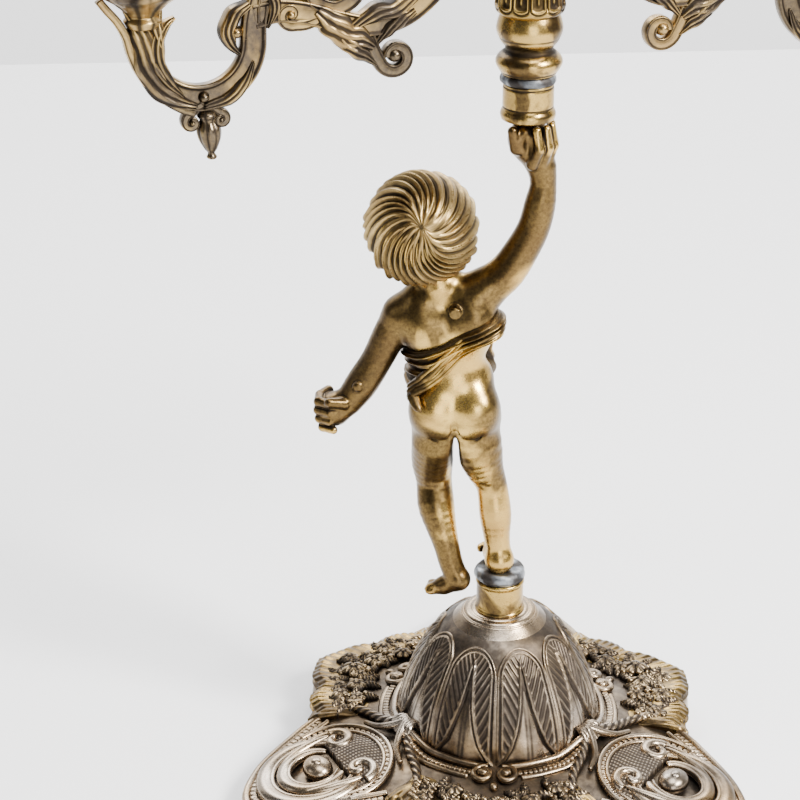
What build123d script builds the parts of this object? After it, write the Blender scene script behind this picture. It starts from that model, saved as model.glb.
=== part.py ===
from build123d import *
import os

os.makedirs("parts", exist_ok=True)

# Candelabra: a child figure stands on a domed, three-sided base and holds up a stem that
# carries two scrolled side arms and a centre light.  Millimetres, +Z up, origin on the
# table under the dome.  The figure faces -Y, so its back is towards +Y.

# base casting
base_sides = 3
cartouche_reach = 95.0
cartouche_half_width = 30.0
floral_reach = 75.5
notch_reach = 54.9
base_edge_height = 6.0
base_wall = 2.6
dome_radius = 35.0
dome_foot_height = 17.0
dome_height = 58.0
dome_top_radius = 12.2
scallop_rise = 2.6

# threaded pieces; a plain hole is wider than its rod by the clearance, a tapped one isn't
foot_stud_radius = 2.0
stem_rod_radius = 3.0
cup_stud_radius = 2.5
grub_radius = 1.5
grub_length = 3.6
hole_clearance = 0.10
running_clearance = 0.05
nut_corner_radius = 5.6
nut_height = 4.6
washer_radius = 7.4
washer_height = 1.4
rod_end = 1.0

# pedestal under the standing foot
pedestal_sleeve_radius = 8.0
pedestal_sleeve_height = 11.2
pedestal_ring_radius = 8.4
pedestal_ring_height = 4.3

# figure, from the sole of the foot to the top of the raised fist
figure_height = 155.5
foot_stud_grip = 6.0
hand_grip = 7.0
head_radius = 18.0
fist_radius = 7.6
joint_fullness = 1.04
plug_radius = 1.5
plug_depth = 2.4
plug_stand = 0.2
shoulder_pin_radius = 1.5
shoulder_pin_length = 9.0

# stem above the hand, from the bottom up
flange_radius = 8.5
flange_height = 3.5
hand_sleeve_radius = 7.8
hand_sleeve_height = 8.0
neck_ring_radius = 8.4
neck_ring_height = 3.0
knop_radius = 10.2
knop_neck_radius = 7.3
knop_height = 18.5
baluster_radius = 10.4
baluster_neck_radius = 7.0
baluster_height = 22.0
swivel_gap = 0.2

# branch: the hub, two side arms and the top knop
hub_radius = 10.0
hub_height = 18.0
hub_neck_radius = 8.6
hub_neck_height = 5.0
hub_well_depth = 7.0
arm_azimuth = 22.5
arm_reach = 117.0
arm_bend_radius = 15.85
arm_width = 8.2
arm_thickness = 6.0
arm_seat_drop = 11.6
arm_bend_drop = 30.6
arm_scroll_drop = 29.6
seat_radius = 12.4
seat_height = 11.0
spigot_radius = 3.0
spigot_length = 5.0
top_knop_height = 27.0

# candle cups and the drip pans they clamp
pan_radius = 21.0
pan_depth = 5.0
pan_wall = 1.4
cup_height = 32.0
cup_foot_radius = 7.5
cup_waist_radius = 5.2
candle_radius = 11.1
candle_clearance = 0.15
candle_depth = 20.0
cup_wall = 1.25
cup_swell = 1.1
cup_rim_flare = 2.3
stud_grip = 7.0

# heights of the stack
sleeve_base = dome_height
ring_base = sleeve_base + pedestal_sleeve_height
foot_base = ring_base + pedestal_ring_height
hand_top = foot_base + figure_height
neck_ring_base = hand_top + flange_height + hand_sleeve_height
knop_base = neck_ring_base + neck_ring_height
baluster_base = knop_base + knop_height
swivel_base = baluster_base + baluster_height
hub_base = swivel_base + washer_height + swivel_gap
hub_top = hub_base + hub_height
well_floor = hub_top - hub_well_depth
arm_root_height = hub_base + 0.4 * hub_height
side_seat_height = arm_root_height - arm_seat_drop
centre_seat_height = hub_top + top_knop_height

# the figure is sculpted 155.5 mm tall and scaled to its set height
sculpted_height = 155.5
figure_scale = figure_height / sculpted_height


def on_figure(x, y, z):
    # a landmark on the figure, measured from the middle of the sole it stands on
    return Vector(x * figure_scale, y * figure_scale, foot_base + z * figure_scale)


fist_centre = on_figure(-6.0, 0, 147.5)
stem_x = fist_centre.X


def upright_plane(x, y, z):
    # radius and height of a piece turned about the upright axis through the point
    return Plane(origin=(x, y, z), x_dir=(1, 0, 0), z_dir=(0, -1, 0))


def turned(x, y, z, outline):
    # a solid turned about that axis from a closed outline of radius and height
    with BuildPart() as body:
        with BuildSketch(upright_plane(x, y, z)):
            with BuildLine():
                Polyline(*outline, close=True)
            make_face()
        revolve(axis=Axis((x, y, z), (0, 0, 1)))
    return body.part


def tube(x, y, z, outer, inner, height):
    # a plain ring or sleeve
    return turned(x, y, z, [(inner, 0), (outer, 0), (outer, height), (inner, height)])


def rod(x, y, z, radius, height):
    # a plain upright rod
    return turned(x, y, z, [(0, 0), (radius, 0), (radius, height), (0, height)])


def hexagon_nut(x, y, z, hole_radius):
    # a nut that stands on z
    with BuildPart() as body:
        with BuildSketch(Plane((x, y, z))):
            RegularPolygon(nut_corner_radius, 6)
            Circle(hole_radius, mode=Mode.SUBTRACT)
        extrude(amount=nut_height)
    return body.part


def limb(points, radii):
    # tapering lengths through the points, with a slightly fuller ball at each joint
    with BuildPart() as body:
        for start, end, start_radius, end_radius in zip(points, points[1:], radii, radii[1:]):
            for point, radius in ((start, start_radius), (end, end_radius)):
                with BuildSketch(Plane(origin=point, x_dir=(0, 1, 0), z_dir=end - start)):
                    Circle(radius)
            loft()
        for point, radius in zip(points, radii):
            with Locations(point):
                Sphere(joint_fullness * radius)
    return body.part


def scallops(start, end):
    # two shallow outward curves between the points
    middle = (start + end) / 2
    for first, last in ((start, middle), (middle, end)):
        along = last - first
        outward = Vector(along.Y, -along.X).normalized()
        ThreePointArc(first, (first + last) / 2 + outward * scallop_rise, last)


def base_plan(inset):
    # a pointed cartouche lobe on each side, a shallow scalloped floral corner between
    tip = cartouche_reach - inset
    half_width = cartouche_half_width - inset
    half_lobe = [
        Vector(notch_reach, half_width),
        Vector(0.70 * tip, 0.84 * half_width),
        Vector(0.90 * tip, 0.48 * half_width),
    ]
    lobe = [Vector(point.X, -point.Y) for point in half_lobe]
    lobe += [Vector(tip, 0)] + half_lobe[::-1]
    step = 360 / base_sides
    with BuildSketch() as plan:
        with BuildLine():
            for side in range(base_sides):
                turn = 30 + step * side
                Spline(*[point.rotate(Axis.Z, turn) for point in lobe])
                corner = Vector(floral_reach - inset, 0).rotate(Axis.Z, turn + step / 2)
                scallops(lobe[-1].rotate(Axis.Z, turn), corner)
                scallops(corner, lobe[0].rotate(Axis.Z, turn + step))
        make_face()
    return plan.sketch


def bell(inset):
    # the dome over a cone that falls to the edge, inset by the wall for the hollow
    dome_rise = dome_height - dome_foot_height
    top = (dome_top_radius - inset, dome_height - inset)
    shoulder = (0.68 * dome_radius - inset, dome_foot_height + 0.74 * dome_rise - inset)
    flank = (0.90 * dome_radius - inset, dome_foot_height + 0.38 * dome_rise - inset)
    foot = (dome_radius - inset, dome_foot_height - inset)
    edge = (cartouche_reach + 1, base_edge_height - inset)
    with BuildPart() as body:
        with BuildSketch(Plane.XZ):
            with BuildLine():
                Spline(top, shoulder, flank, foot)
                Polyline(foot, edge, (edge[0], -1), (0, -1), (0, top[1]), top)
            make_face()
        revolve(axis=Axis.Z)
    return body.part


def trimmed_bell(inset):
    # the bell cut to the plan, from the table up
    with BuildPart() as body:
        add(base_plan(inset))
        extrude(amount=dome_height + 1)
        add(bell(inset), mode=Mode.INTERSECT)
    return body.part


# base casting: one hollow bell, open underneath, with the foot stud's hole in its crown
with BuildPart() as base_casting:
    add(trimmed_bell(0))
    add(trimmed_bell(base_wall), mode=Mode.SUBTRACT)
    with BuildSketch(Plane.XY.offset(dome_height - 2 * base_wall)):
        Circle(foot_stud_radius + hole_clearance)
    extrude(amount=3 * base_wall, mode=Mode.SUBTRACT)
base_casting.part.label = "base_casting"
export_step(base_casting.part, "parts/base_casting.step")

# foot stud: runs from the nut under the crown up into the standing leg
foot_stud_hole = foot_stud_radius + hole_clearance
base_washer_base = dome_height - base_wall - washer_height
base_nut_base = base_washer_base - nut_height
foot_stud_base = base_nut_base - rod_end
foot_stud_top = foot_base + foot_stud_grip
with BuildPart() as foot_stud:
    add(rod(0, 0, foot_stud_base, foot_stud_radius, foot_stud_top - foot_stud_base))
foot_stud.part.label = "foot_stud"
export_step(foot_stud.part, "parts/foot_stud.step")

with BuildPart() as base_washer:
    add(tube(0, 0, base_washer_base, washer_radius, foot_stud_hole, washer_height))
base_washer.part.label = "base_washer"
export_step(base_washer.part, "parts/base_washer.step")

with BuildPart() as base_nut:
    add(hexagon_nut(0, 0, base_nut_base, foot_stud_radius))
base_nut.part.label = "base_nut"
export_step(base_nut.part, "parts/base_nut.step")

# pedestal: a plain sleeve, and the rounded ring that the foot stands on
with BuildPart() as pedestal_sleeve:
    add(tube(0, 0, sleeve_base, pedestal_sleeve_radius, foot_stud_hole, pedestal_sleeve_height))
pedestal_sleeve.part.label = "pedestal_sleeve"
export_step(pedestal_sleeve.part, "parts/pedestal_sleeve.step")

with BuildPart() as pedestal_ring:
    add(tube(0, 0, ring_base, pedestal_ring_radius, foot_stud_hole, pedestal_ring_height))
    rims = pedestal_ring.edges().filter_by(GeomType.CIRCLE).group_by(SortBy.RADIUS)[-1]
    fillet(rims, 0.3 * pedestal_ring_height)
pedestal_ring.part.label = "pedestal_ring"
export_step(pedestal_ring.part, "parts/pedestal_ring.step")


def on_figures(*places):
    # several landmarks, in the order of a limb
    return [on_figure(*place) for place in places]


def scaled(*sizes):
    # radii of the figure's limbs and sections
    return [size * figure_scale for size in sizes]


def halves(part, plane):
    # the part cut in two by the plane: the side it faces, then the side behind it
    pieces = []
    for side in (Keep.TOP, Keep.BOTTOM):
        with BuildPart() as piece:
            add(part)
            split(bisect_by=plane, keep=side)
        pieces.append(piece.part)
    return pieces


def pin(middle, along, radius, length):
    # a round pin centred on a point
    with BuildPart() as body:
        with BuildSketch(Plane(origin=middle - along.normalized() * (length / 2), z_dir=along)):
            Circle(radius)
        extrude(amount=length)
    return body.part


# limbs of the figure, each from its joint outwards
raised_path = on_figures(
    (7.5, 0, 95), (0, 0, 104), (-8.8, 0, 117), (-11.2, 0, 128), (-11, 0, 137), (-7.5, 0, 146)
)
raised_arm = limb(raised_path, scaled(7, 5.4, 4.9, 4.9, 4.1, 5.2))
lowered_path = on_figures((32, 0, 91), (37, 0, 83), (43.5, 0, 71), (49.5, 0, 62.5), (54.5, 0, 56))
lowered_arm = limb(lowered_path, scaled(6.6, 4.9, 4.5, 3.9, 5.6))
standing_path = on_figures((0.4, 1.5, 3), (0.6, 1.5, 9), (1.7, 1, 19), (3, 0, 30), (5.5, 0, 39), (9, 0, 48))
standing_leg = limb(standing_path, scaled(4.4, 3.6, 5.1, 4.9, 6.2, 7.6))
free_path = on_figures((17, 4, 1), (18, 3, 8), (21, -1, 20), (22.2, -4, 29), (22, -3, 38), (20.5, 0, 47))
free_leg = limb(free_path, scaled(3.8, 4, 5.8, 5.9, 6.6, 8.2))
standing_foot = limb(on_figures((1, 1.5, 3), (3.4, -4, 2.8), (6, -8, 2.4)), scaled(3, 3, 2.4))
free_foot = limb(on_figures((14.8, 4.5, -2), (19, 4.5, -5.4), (24, 3.5, -7.6)), scaled(3.4, 2.8, 1.8))

# the arms are cast apart and joined to the shoulders on these planes
raised_joint = Plane(origin=raised_path[1], z_dir=raised_path[2] - raised_path[0])
lowered_joint = Plane(origin=lowered_path[1], z_dir=lowered_path[2] - lowered_path[0])
raised_half, raised_stub = halves(raised_arm, raised_joint)
lowered_half, lowered_stub = halves(lowered_arm, lowered_joint)
pin_length = shoulder_pin_length * figure_scale
raised_pin = pin(raised_path[1], raised_joint.z_dir, shoulder_pin_radius, pin_length)
lowered_pin = pin(lowered_path[1], lowered_joint.z_dir, shoulder_pin_radius, pin_length)

# round plugs that close the casting's core holes: back, raised hand and lowered forearm
plug_faces = on_figures((15, 8.4, 95), (-9.3, 5, 146.5), (46.5, 4.2, 67))
plug_pins = [
    pin(face + Vector(0, plug_stand - plug_depth / 2, 0), Vector(0, 1, 0), plug_radius, plug_depth)
    for face in plug_faces
]

# torso sections from the hips up to the neck: centre, half width and half depth
torso_sections = [
    (on_figure(14.5, 0, 47), *scaled(14.4, 11)),
    (on_figure(16.3, 0, 63), *scaled(13.6, 11.2)),
    (on_figure(17.4, 0, 78), *scaled(14.8, 11)),
    (on_figure(19.4, 0, 93), *scaled(14, 8.6)),
    (on_figure(22, 0, 104), *scaled(6.8, 6.8)),
]
head_centre = on_figure(26.4, -1.5, 118.5)
sash_plane = Plane(origin=on_figure(17, 0, 76), x_dir=(1, 0, -0.45), z_dir=(0.45, 0, 1))
sash_fall = on_figures((28.6, 6, 78), (29, 8.5, 70), (28.5, 8.5, 62))

with BuildPart() as figure_body:
    for centre, half_width, half_depth in torso_sections:
        with BuildSketch(Plane(centre)):
            Ellipse(half_width, half_depth)
    loft()
    for leg in (standing_leg, free_leg, standing_foot, free_foot):
        add(leg)
    with Locations(head_centre):
        Sphere(head_radius * figure_scale)
    with BuildSketch(sash_plane):
        Ellipse(*scaled(16, 12.6))
    extrude(amount=4 * figure_scale, both=True)
    add(limb(sash_fall, scaled(3.4, 4.2, 3)))
    add(raised_stub)
    add(lowered_stub)
    with BuildSketch(Plane((0, 0, foot_base - washer_radius))):
        Circle(pedestal_ring_radius + 2)
    extrude(amount=washer_radius, mode=Mode.SUBTRACT)
    add(rod(0, 0, foot_base, foot_stud_radius, foot_stud_grip), mode=Mode.SUBTRACT)
    for fastener in (raised_pin, lowered_pin, plug_pins[0]):
        add(fastener, mode=Mode.SUBTRACT)
figure_body.part.label = "figure_body"
export_step(figure_body.part, "parts/figure_body.step")

with BuildPart() as figure_raised_arm:
    add(raised_half)
    with Locations(fist_centre):
        Sphere(fist_radius * figure_scale)
    add(rod(stem_x, 0, fist_centre.Z, 0.8 * fist_radius * figure_scale, hand_top - fist_centre.Z))
    with BuildSketch(Plane((stem_x, 0, hand_top))):
        Circle(2 * fist_radius * figure_scale)
    extrude(amount=fist_radius * figure_scale, mode=Mode.SUBTRACT)
    add(rod(stem_x, 0, hand_top - hand_grip, stem_rod_radius, hand_grip), mode=Mode.SUBTRACT)
    for fastener in (raised_pin, plug_pins[1]):
        add(fastener, mode=Mode.SUBTRACT)
figure_raised_arm.part.label = "figure_raised_arm"
export_step(figure_raised_arm.part, "parts/figure_raised_arm.step")

with BuildPart() as figure_lowered_arm:
    add(lowered_half)
    for fastener in (lowered_pin, plug_pins[2]):
        add(fastener, mode=Mode.SUBTRACT)
figure_lowered_arm.part.label = "figure_lowered_arm"
export_step(figure_lowered_arm.part, "parts/figure_lowered_arm.step")

with BuildPart() as shoulder_pins:
    add(raised_pin)
    add(lowered_pin)
shoulder_pins.part.label = "shoulder_pins"
export_step(shoulder_pins.part, "parts/shoulder_pins.step")

with BuildPart() as core_plugs:
    for plug in plug_pins:
        add(plug)
core_plugs.part.label = "core_plugs"
export_step(core_plugs.part, "parts/core_plugs.step")

# stem: turned pieces threaded on one rod that screws into the fist
stem_hole = stem_rod_radius + hole_clearance
hub_washer_base = well_floor + swivel_gap
hub_nut_base = hub_washer_base + washer_height
stem_rod_base = hand_top - hand_grip
stem_rod_top = hub_nut_base + nut_height + 0.3 * rod_end
with BuildPart() as stem_rod:
    add(rod(stem_x, 0, stem_rod_base, stem_rod_radius, stem_rod_top - stem_rod_base))
stem_rod.part.label = "stem_rod"
export_step(stem_rod.part, "parts/stem_rod.step")

with BuildPart() as hand_sleeve:
    sleeve_top = flange_height + hand_sleeve_height
    outline = [
        (stem_hole, 0),
        (0.95 * flange_radius, 0),
        (flange_radius, 0.35 * flange_height),
        (flange_radius, 0.7 * flange_height),
        (hand_sleeve_radius, flange_height),
        (hand_sleeve_radius, sleeve_top),
        (stem_hole, sleeve_top),
    ]
    add(turned(stem_x, 0, hand_top, outline))
hand_sleeve.part.label = "hand_sleeve"
export_step(hand_sleeve.part, "parts/hand_sleeve.step")

with BuildPart() as neck_ring:
    add(tube(stem_x, 0, neck_ring_base, neck_ring_radius, stem_hole, neck_ring_height))
    rims = neck_ring.edges().filter_by(GeomType.CIRCLE).group_by(SortBy.RADIUS)[-1]
    fillet(rims, 0.3 * neck_ring_height)
neck_ring.part.label = "neck_ring"
export_step(neck_ring.part, "parts/neck_ring.step")

with BuildPart() as knop:
    with BuildSketch(upright_plane(stem_x, 0, knop_base)):
        with BuildLine():
            waist_point = (knop_neck_radius, 0.41 * knop_height)
            shoulder_point = (0.88 * knop_radius, knop_height)
            foot_point = (0.8 * knop_radius, 0)
            Spline(foot_point, (knop_radius, 0.19 * knop_height), waist_point)
            Spline(waist_point, (0.98 * knop_radius, 0.73 * knop_height), shoulder_point)
            Polyline(shoulder_point, (stem_hole, knop_height), (stem_hole, 0), foot_point)
        make_face()
    revolve(axis=Axis((stem_x, 0, 0), (0, 0, 1)))
knop.part.label = "knop"
export_step(knop.part, "parts/knop.step")

with BuildPart() as baluster:
    outline = [
        (stem_hole, 0),
        (0.96 * baluster_radius, 0),
        (baluster_radius, 0.15 * baluster_height),
        (0.92 * baluster_radius, 0.4 * baluster_height),
        (baluster_neck_radius, 0.7 * baluster_height),
        (baluster_neck_radius, 0.82 * baluster_height),
        (1.2 * baluster_neck_radius, 0.92 * baluster_height),
        (1.2 * baluster_neck_radius, baluster_height),
        (stem_hole, baluster_height),
    ]
    add(turned(stem_x, 0, baluster_base, outline))
baluster.part.label = "baluster"
export_step(baluster.part, "parts/baluster.step")

with BuildPart() as swivel_washer:
    add(tube(stem_x, 0, swivel_base, washer_radius, stem_hole, washer_height))
swivel_washer.part.label = "swivel_washer"
export_step(swivel_washer.part, "parts/swivel_washer.step")

# hub: turns on the rod, with a well for the nut and tapped holes for the arms' spigots
arm_directions = {
    "left": Vector(1, 0, 0).rotate(Axis.Z, arm_azimuth),
    "right": Vector(1, 0, 0).rotate(Axis.Z, arm_azimuth + 180),
}
stem_foot = Vector(stem_x, 0, 0)
hub_bore = stem_rod_radius + running_clearance
well_radius = washer_radius + hole_clearance
grub_place = hub_radius - 0.6 * spigot_length
with BuildPart() as hub:
    outline = [
        (hub_bore, 0),
        (0.9 * hub_radius, 0),
        (hub_radius, 0.06 * hub_height),
        (hub_radius, hub_height - hub_neck_height),
        (hub_neck_radius, hub_height - hub_neck_height),
        (hub_neck_radius, hub_height),
        (well_radius, hub_height),
        (well_radius, hub_height - hub_well_depth),
        (hub_bore, hub_height - hub_well_depth),
    ]
    add(turned(stem_x, 0, hub_base, outline))
    for outward in arm_directions.values():
        spigot_end = stem_foot + outward * (hub_radius - spigot_length) + Vector(0, 0, arm_root_height)
        with BuildSketch(Plane(origin=spigot_end, z_dir=outward)):
            Circle(spigot_radius)
        extrude(amount=2 * spigot_length, mode=Mode.SUBTRACT)
        grub_axis = stem_foot + outward * grub_place
        grub_hole = arm_root_height - hub_base
        add(rod(grub_axis.X, grub_axis.Y, hub_base, grub_radius, grub_hole), mode=Mode.SUBTRACT)
hub.part.label = "hub"
export_step(hub.part, "parts/hub.step")

# grub screws: driven from under the hub against the spigots
with BuildPart() as arm_grub_screws:
    grub_base = arm_root_height - spigot_radius - grub_length
    for outward in arm_directions.values():
        grub_axis = stem_foot + outward * grub_place
        add(rod(grub_axis.X, grub_axis.Y, grub_base, grub_radius, grub_length))
arm_grub_screws.part.label = "arm_grub_screws"
export_step(arm_grub_screws.part, "parts/arm_grub_screws.step")

with BuildPart() as hub_washer:
    add(tube(stem_x, 0, hub_washer_base, washer_radius, stem_hole, washer_height))
hub_washer.part.label = "hub_washer"
export_step(hub_washer.part, "parts/hub_washer.step")

with BuildPart() as hub_nut:
    add(hexagon_nut(stem_x, 0, hub_nut_base, stem_rod_radius))
hub_nut.part.label = "hub_nut"
export_step(hub_nut.part, "parts/hub_nut.step")


def arm_profile():
    # the flat outline of an arm: radius from the stem and height from the spigot's axis
    strap = arm_reach - 2 * arm_bend_radius
    bend = arm_reach - arm_bend_radius
    reach = strap - hub_radius
    scroll_shape = [(0, 0), (0.18, 0.36), (0.35, 0.78), (0.51, 1), (0.67, 0.95), (0.84, 0.8), (1, 0.78)]
    scroll = [(hub_radius + across * reach, -down * arm_scroll_drop) for across, down in scroll_shape]
    volute = [
        (strap, -arm_bend_drop),
        (strap - 3.5, -0.7 * arm_scroll_drop),
        (strap - 5, -0.38 * arm_scroll_drop),
        (strap - 12, -0.1 * arm_scroll_drop),
        (strap - 22, -0.05 * arm_scroll_drop),
        (strap - 30, -0.28 * arm_scroll_drop),
        (strap - 30, -0.52 * arm_scroll_drop),
    ]
    curl = (hub_radius + 0.43 * reach, -1.36 * arm_scroll_drop)
    leaf = [
        (hub_radius + 0.66 * reach, -arm_scroll_drop),
        (hub_radius + 0.50 * reach, -arm_scroll_drop),
        (hub_radius + 0.515 * reach, -1.4 * arm_scroll_drop),
        (hub_radius + 0.55 * reach, -1.15 * arm_scroll_drop),
    ]
    bottom = -arm_bend_drop - arm_bend_radius
    drop = [
        (bend - 8, bottom),
        (bend + 6, bottom),
        (bend + 2, bottom - 9),
        (bend - 2.5, bottom - 19),
        (bend - 6, bottom - 9),
    ]
    with BuildSketch() as profile:
        with BuildLine():
            Spline(*scroll)
        trace(line_width=0.9 * arm_width)
        with BuildLine():
            Spline(*volute)
        trace(line_width=0.85 * arm_width)
        with BuildLine():
            Line((strap, 1 - arm_bend_drop), (strap, -arm_bend_drop))
            CenterArc((bend, -arm_bend_drop), arm_bend_radius, 180, 180)
            Line((arm_reach, -arm_bend_drop), (arm_reach, -arm_seat_drop - seat_height / 2))
        trace(line_width=1.1 * arm_width)
        with Locations((strap - 24, -0.57 * arm_scroll_drop)):
            Circle(0.85 * arm_width)
        with Locations(curl):
            Circle(0.55 * arm_width)
        with BuildLine():
            Line((curl[0] + 4, curl[1]), (curl[0] + 3, -arm_scroll_drop))
        trace(line_width=0.4 * arm_width)
        for corners in (leaf, drop):
            with BuildLine():
                Polyline(*corners, close=True)
            make_face()
    return profile.sketch


def spigot(outward):
    # the arm's round root, from inside the hub out into the arm
    mouth = stem_foot + outward * hub_radius + Vector(0, 0, arm_root_height)
    return pin(mouth, outward, spigot_radius, 2 * spigot_length)


def hub_room():
    # the room that the hub takes up, kept free of the arm's outline
    return rod(stem_x, 0, hub_base - hub_height, hub_radius, 3 * hub_height)


def arm(outward):
    # a flat casting with a round spigot for the hub and a flared seat for the drip pan
    root = stem_foot + Vector(0, 0, arm_root_height)
    seat = stem_foot + outward * arm_reach
    with BuildPart() as body:
        across = outward.rotate(Axis.Z, -90)
        with BuildSketch(Plane(origin=root, x_dir=outward, z_dir=across)):
            add(arm_profile())
        extrude(amount=arm_thickness / 2, both=True)
        flare = [
            (0, 0),
            (0.5 * seat_radius, 0),
            (0.62 * seat_radius, 0.5 * seat_height),
            (seat_radius, 0.85 * seat_height),
            (seat_radius, seat_height),
            (0, seat_height),
        ]
        add(turned(seat.X, seat.Y, side_seat_height - seat_height, flare))
        add(hub_room(), mode=Mode.SUBTRACT)
        add(spigot(outward))
        add(rod(seat.X, seat.Y, side_seat_height - stud_grip, cup_stud_radius, stud_grip), mode=Mode.SUBTRACT)
    return body.part


for side, outward in arm_directions.items():
    with BuildPart() as side_arm:
        add(arm(outward))
    side_arm.part.label = f"arm_{side}"
    export_step(side_arm.part, f"parts/arm_{side}.step")

# top knop: screwed over the hub's neck, it hides the nut and carries the centre light
with BuildPart() as top_knop:
    outline = [
        (hub_neck_radius, -hub_neck_height),
        (hub_radius, -hub_neck_height),
        (1.03 * hub_radius, -0.5 * hub_neck_height),
        (hub_radius, 0),
        (0.66 * hub_radius, 0.1 * top_knop_height),
        (0.54 * hub_radius, 0.22 * top_knop_height),
        (0.66 * hub_radius, 0.38 * top_knop_height),
        (0.9 * hub_radius, 0.54 * top_knop_height),
        (0.92 * hub_radius, 0.66 * top_knop_height),
        (0.72 * hub_radius, 0.76 * top_knop_height),
        (0.56 * hub_radius, 0.83 * top_knop_height),
        (0.8 * hub_radius, 0.92 * top_knop_height),
        (0.9 * seat_radius, 0.97 * top_knop_height),
        (0.9 * seat_radius, top_knop_height),
        (cup_stud_radius, top_knop_height),
        (cup_stud_radius, top_knop_height - stud_grip),
        (0, top_knop_height - stud_grip),
        (0, 0),
        (hub_neck_radius, 0),
    ]
    add(turned(stem_x, 0, hub_top, outline))
top_knop.part.label = "top_knop"
export_step(top_knop.part, "parts/top_knop.step")

# lights: a stud in each seat, a drip pan over it and a candle cup that clamps the pan
left_seat = stem_foot + arm_directions["left"] * arm_reach + Vector(0, 0, side_seat_height)
right_seat = stem_foot + arm_directions["right"] * arm_reach + Vector(0, 0, side_seat_height)
centre_seat = stem_foot + Vector(0, 0, centre_seat_height)
light_seats = {"left": left_seat, "right": right_seat, "centre": centre_seat}
cup_rest = swivel_gap + pan_wall
with BuildPart() as cup_studs:
    for seat in light_seats.values():
        stud_length = 2 * stud_grip + cup_rest
        add(rod(seat.X, seat.Y, seat.Z - stud_grip, cup_stud_radius, stud_length))
cup_studs.part.label = "cup_studs"
export_step(cup_studs.part, "parts/cup_studs.step")

stud_hole = cup_stud_radius + running_clearance
candle_bore = candle_radius + candle_clearance
cup_side = candle_bore + cup_wall
for place, seat in light_seats.items():
    with BuildPart() as drip_pan:
        pan_outline = [
            (stud_hole, 0),
            (0.55 * pan_radius, 0),
            (0.93 * pan_radius, 0.5 * pan_depth),
            (pan_radius, pan_depth - 0.5 * pan_wall),
            (pan_radius, pan_depth),
            (pan_radius - pan_wall, pan_depth),
            (0.9 * pan_radius, 0.5 * pan_depth + pan_wall),
            (0.55 * pan_radius, pan_wall),
            (stud_hole, pan_wall),
        ]
        add(turned(seat.X, seat.Y, seat.Z + swivel_gap, pan_outline))
    drip_pan.part.label = f"drip_pan_{place}"
    export_step(drip_pan.part, f"parts/drip_pan_{place}.step")

    with BuildPart() as candle_cup:
        cup_floor = cup_height - candle_depth
        cup_outline = [
            (stud_hole, 0),
            (cup_foot_radius, 0),
            (cup_foot_radius, 0.05 * cup_height),
            (cup_waist_radius, 0.12 * cup_height),
            (cup_waist_radius, 0.18 * cup_height),
            (cup_side, 0.88 * cup_floor),
            (cup_side + cup_swell, cup_floor + 0.3 * candle_depth),
            (cup_side, cup_floor + 0.75 * candle_depth),
            (cup_side + cup_rim_flare, 0.94 * cup_height),
            (cup_side + cup_rim_flare, cup_height),
            (candle_bore, cup_height),
            (candle_bore, cup_floor),
            (0, cup_floor),
            (0, stud_grip + rod_end),
            (stud_hole, stud_grip + rod_end),
        ]
        add(turned(seat.X, seat.Y, seat.Z + cup_rest, cup_outline))
    candle_cup.part.label = f"candle_cup_{place}"
    export_step(candle_cup.part, f"parts/candle_cup_{place}.step")
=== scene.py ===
import bpy
import numpy as np
from mathutils import Matrix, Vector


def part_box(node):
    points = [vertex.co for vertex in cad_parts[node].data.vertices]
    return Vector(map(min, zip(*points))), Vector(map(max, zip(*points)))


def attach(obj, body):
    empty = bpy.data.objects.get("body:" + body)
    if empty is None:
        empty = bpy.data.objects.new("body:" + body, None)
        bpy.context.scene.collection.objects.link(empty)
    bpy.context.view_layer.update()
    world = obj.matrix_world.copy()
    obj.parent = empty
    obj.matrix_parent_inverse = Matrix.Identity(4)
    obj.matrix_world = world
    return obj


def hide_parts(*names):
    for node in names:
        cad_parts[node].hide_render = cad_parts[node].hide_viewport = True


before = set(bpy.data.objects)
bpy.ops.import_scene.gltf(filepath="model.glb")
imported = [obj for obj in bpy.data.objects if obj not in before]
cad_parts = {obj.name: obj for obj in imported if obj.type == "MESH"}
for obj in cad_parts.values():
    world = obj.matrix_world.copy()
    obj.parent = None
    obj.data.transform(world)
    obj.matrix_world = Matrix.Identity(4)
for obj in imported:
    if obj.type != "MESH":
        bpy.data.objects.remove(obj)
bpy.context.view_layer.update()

# Shapes are worked out in millimetres and stored in metres.
mm = 0.001
pi = np.pi
rng = np.random.default_rng(7)


def heights(node):
    # lowest and highest point of a CAD node, in millimetres
    low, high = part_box(node)
    return low[2] / mm, high[2] / mm


def smoothStep(low, high, value):
    # 0 below low, 1 above high, with an eased rise between
    t = np.clip((value - low) / (high - low), 0, 1)
    return t * t * (3 - 2 * t)


def bump(value, centre, width):
    # a rounded hill of height 1 at the centre
    return np.exp(-((value - centre) / width) ** 2)


def curveThrough(points, count):
    # Catmull-Rom curve through the points, sampled at equal steps of length
    p = np.asarray(points, float)
    p = np.vstack([2 * p[0] - p[1], p, 2 * p[-1] - p[-2]])
    t = np.linspace(0, 1, 24, endpoint=False)[:, None]
    runs = []
    for a, b, c, d in zip(p, p[1:], p[2:], p[3:]):
        runs.append(0.5
                    * (2 * b + (c - a) * t + (2 * a - 5 * b + 4 * c - d) * t ** 2
                       + (3 * b - a - 3 * c + d) * t ** 3))
    line = np.vstack(runs + [p[-2:-1]])
    return evenly(line, count)


def evenly(line, count):
    # the same line with its points at equal steps of length
    steps = np.r_[0, np.cumsum(np.linalg.norm(np.diff(line, axis=0), axis=1))]
    at = np.linspace(0, steps[-1], count)
    return np.stack([np.interp(at, steps, line[:, k]) for k in range(line.shape[1])], 1)


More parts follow.
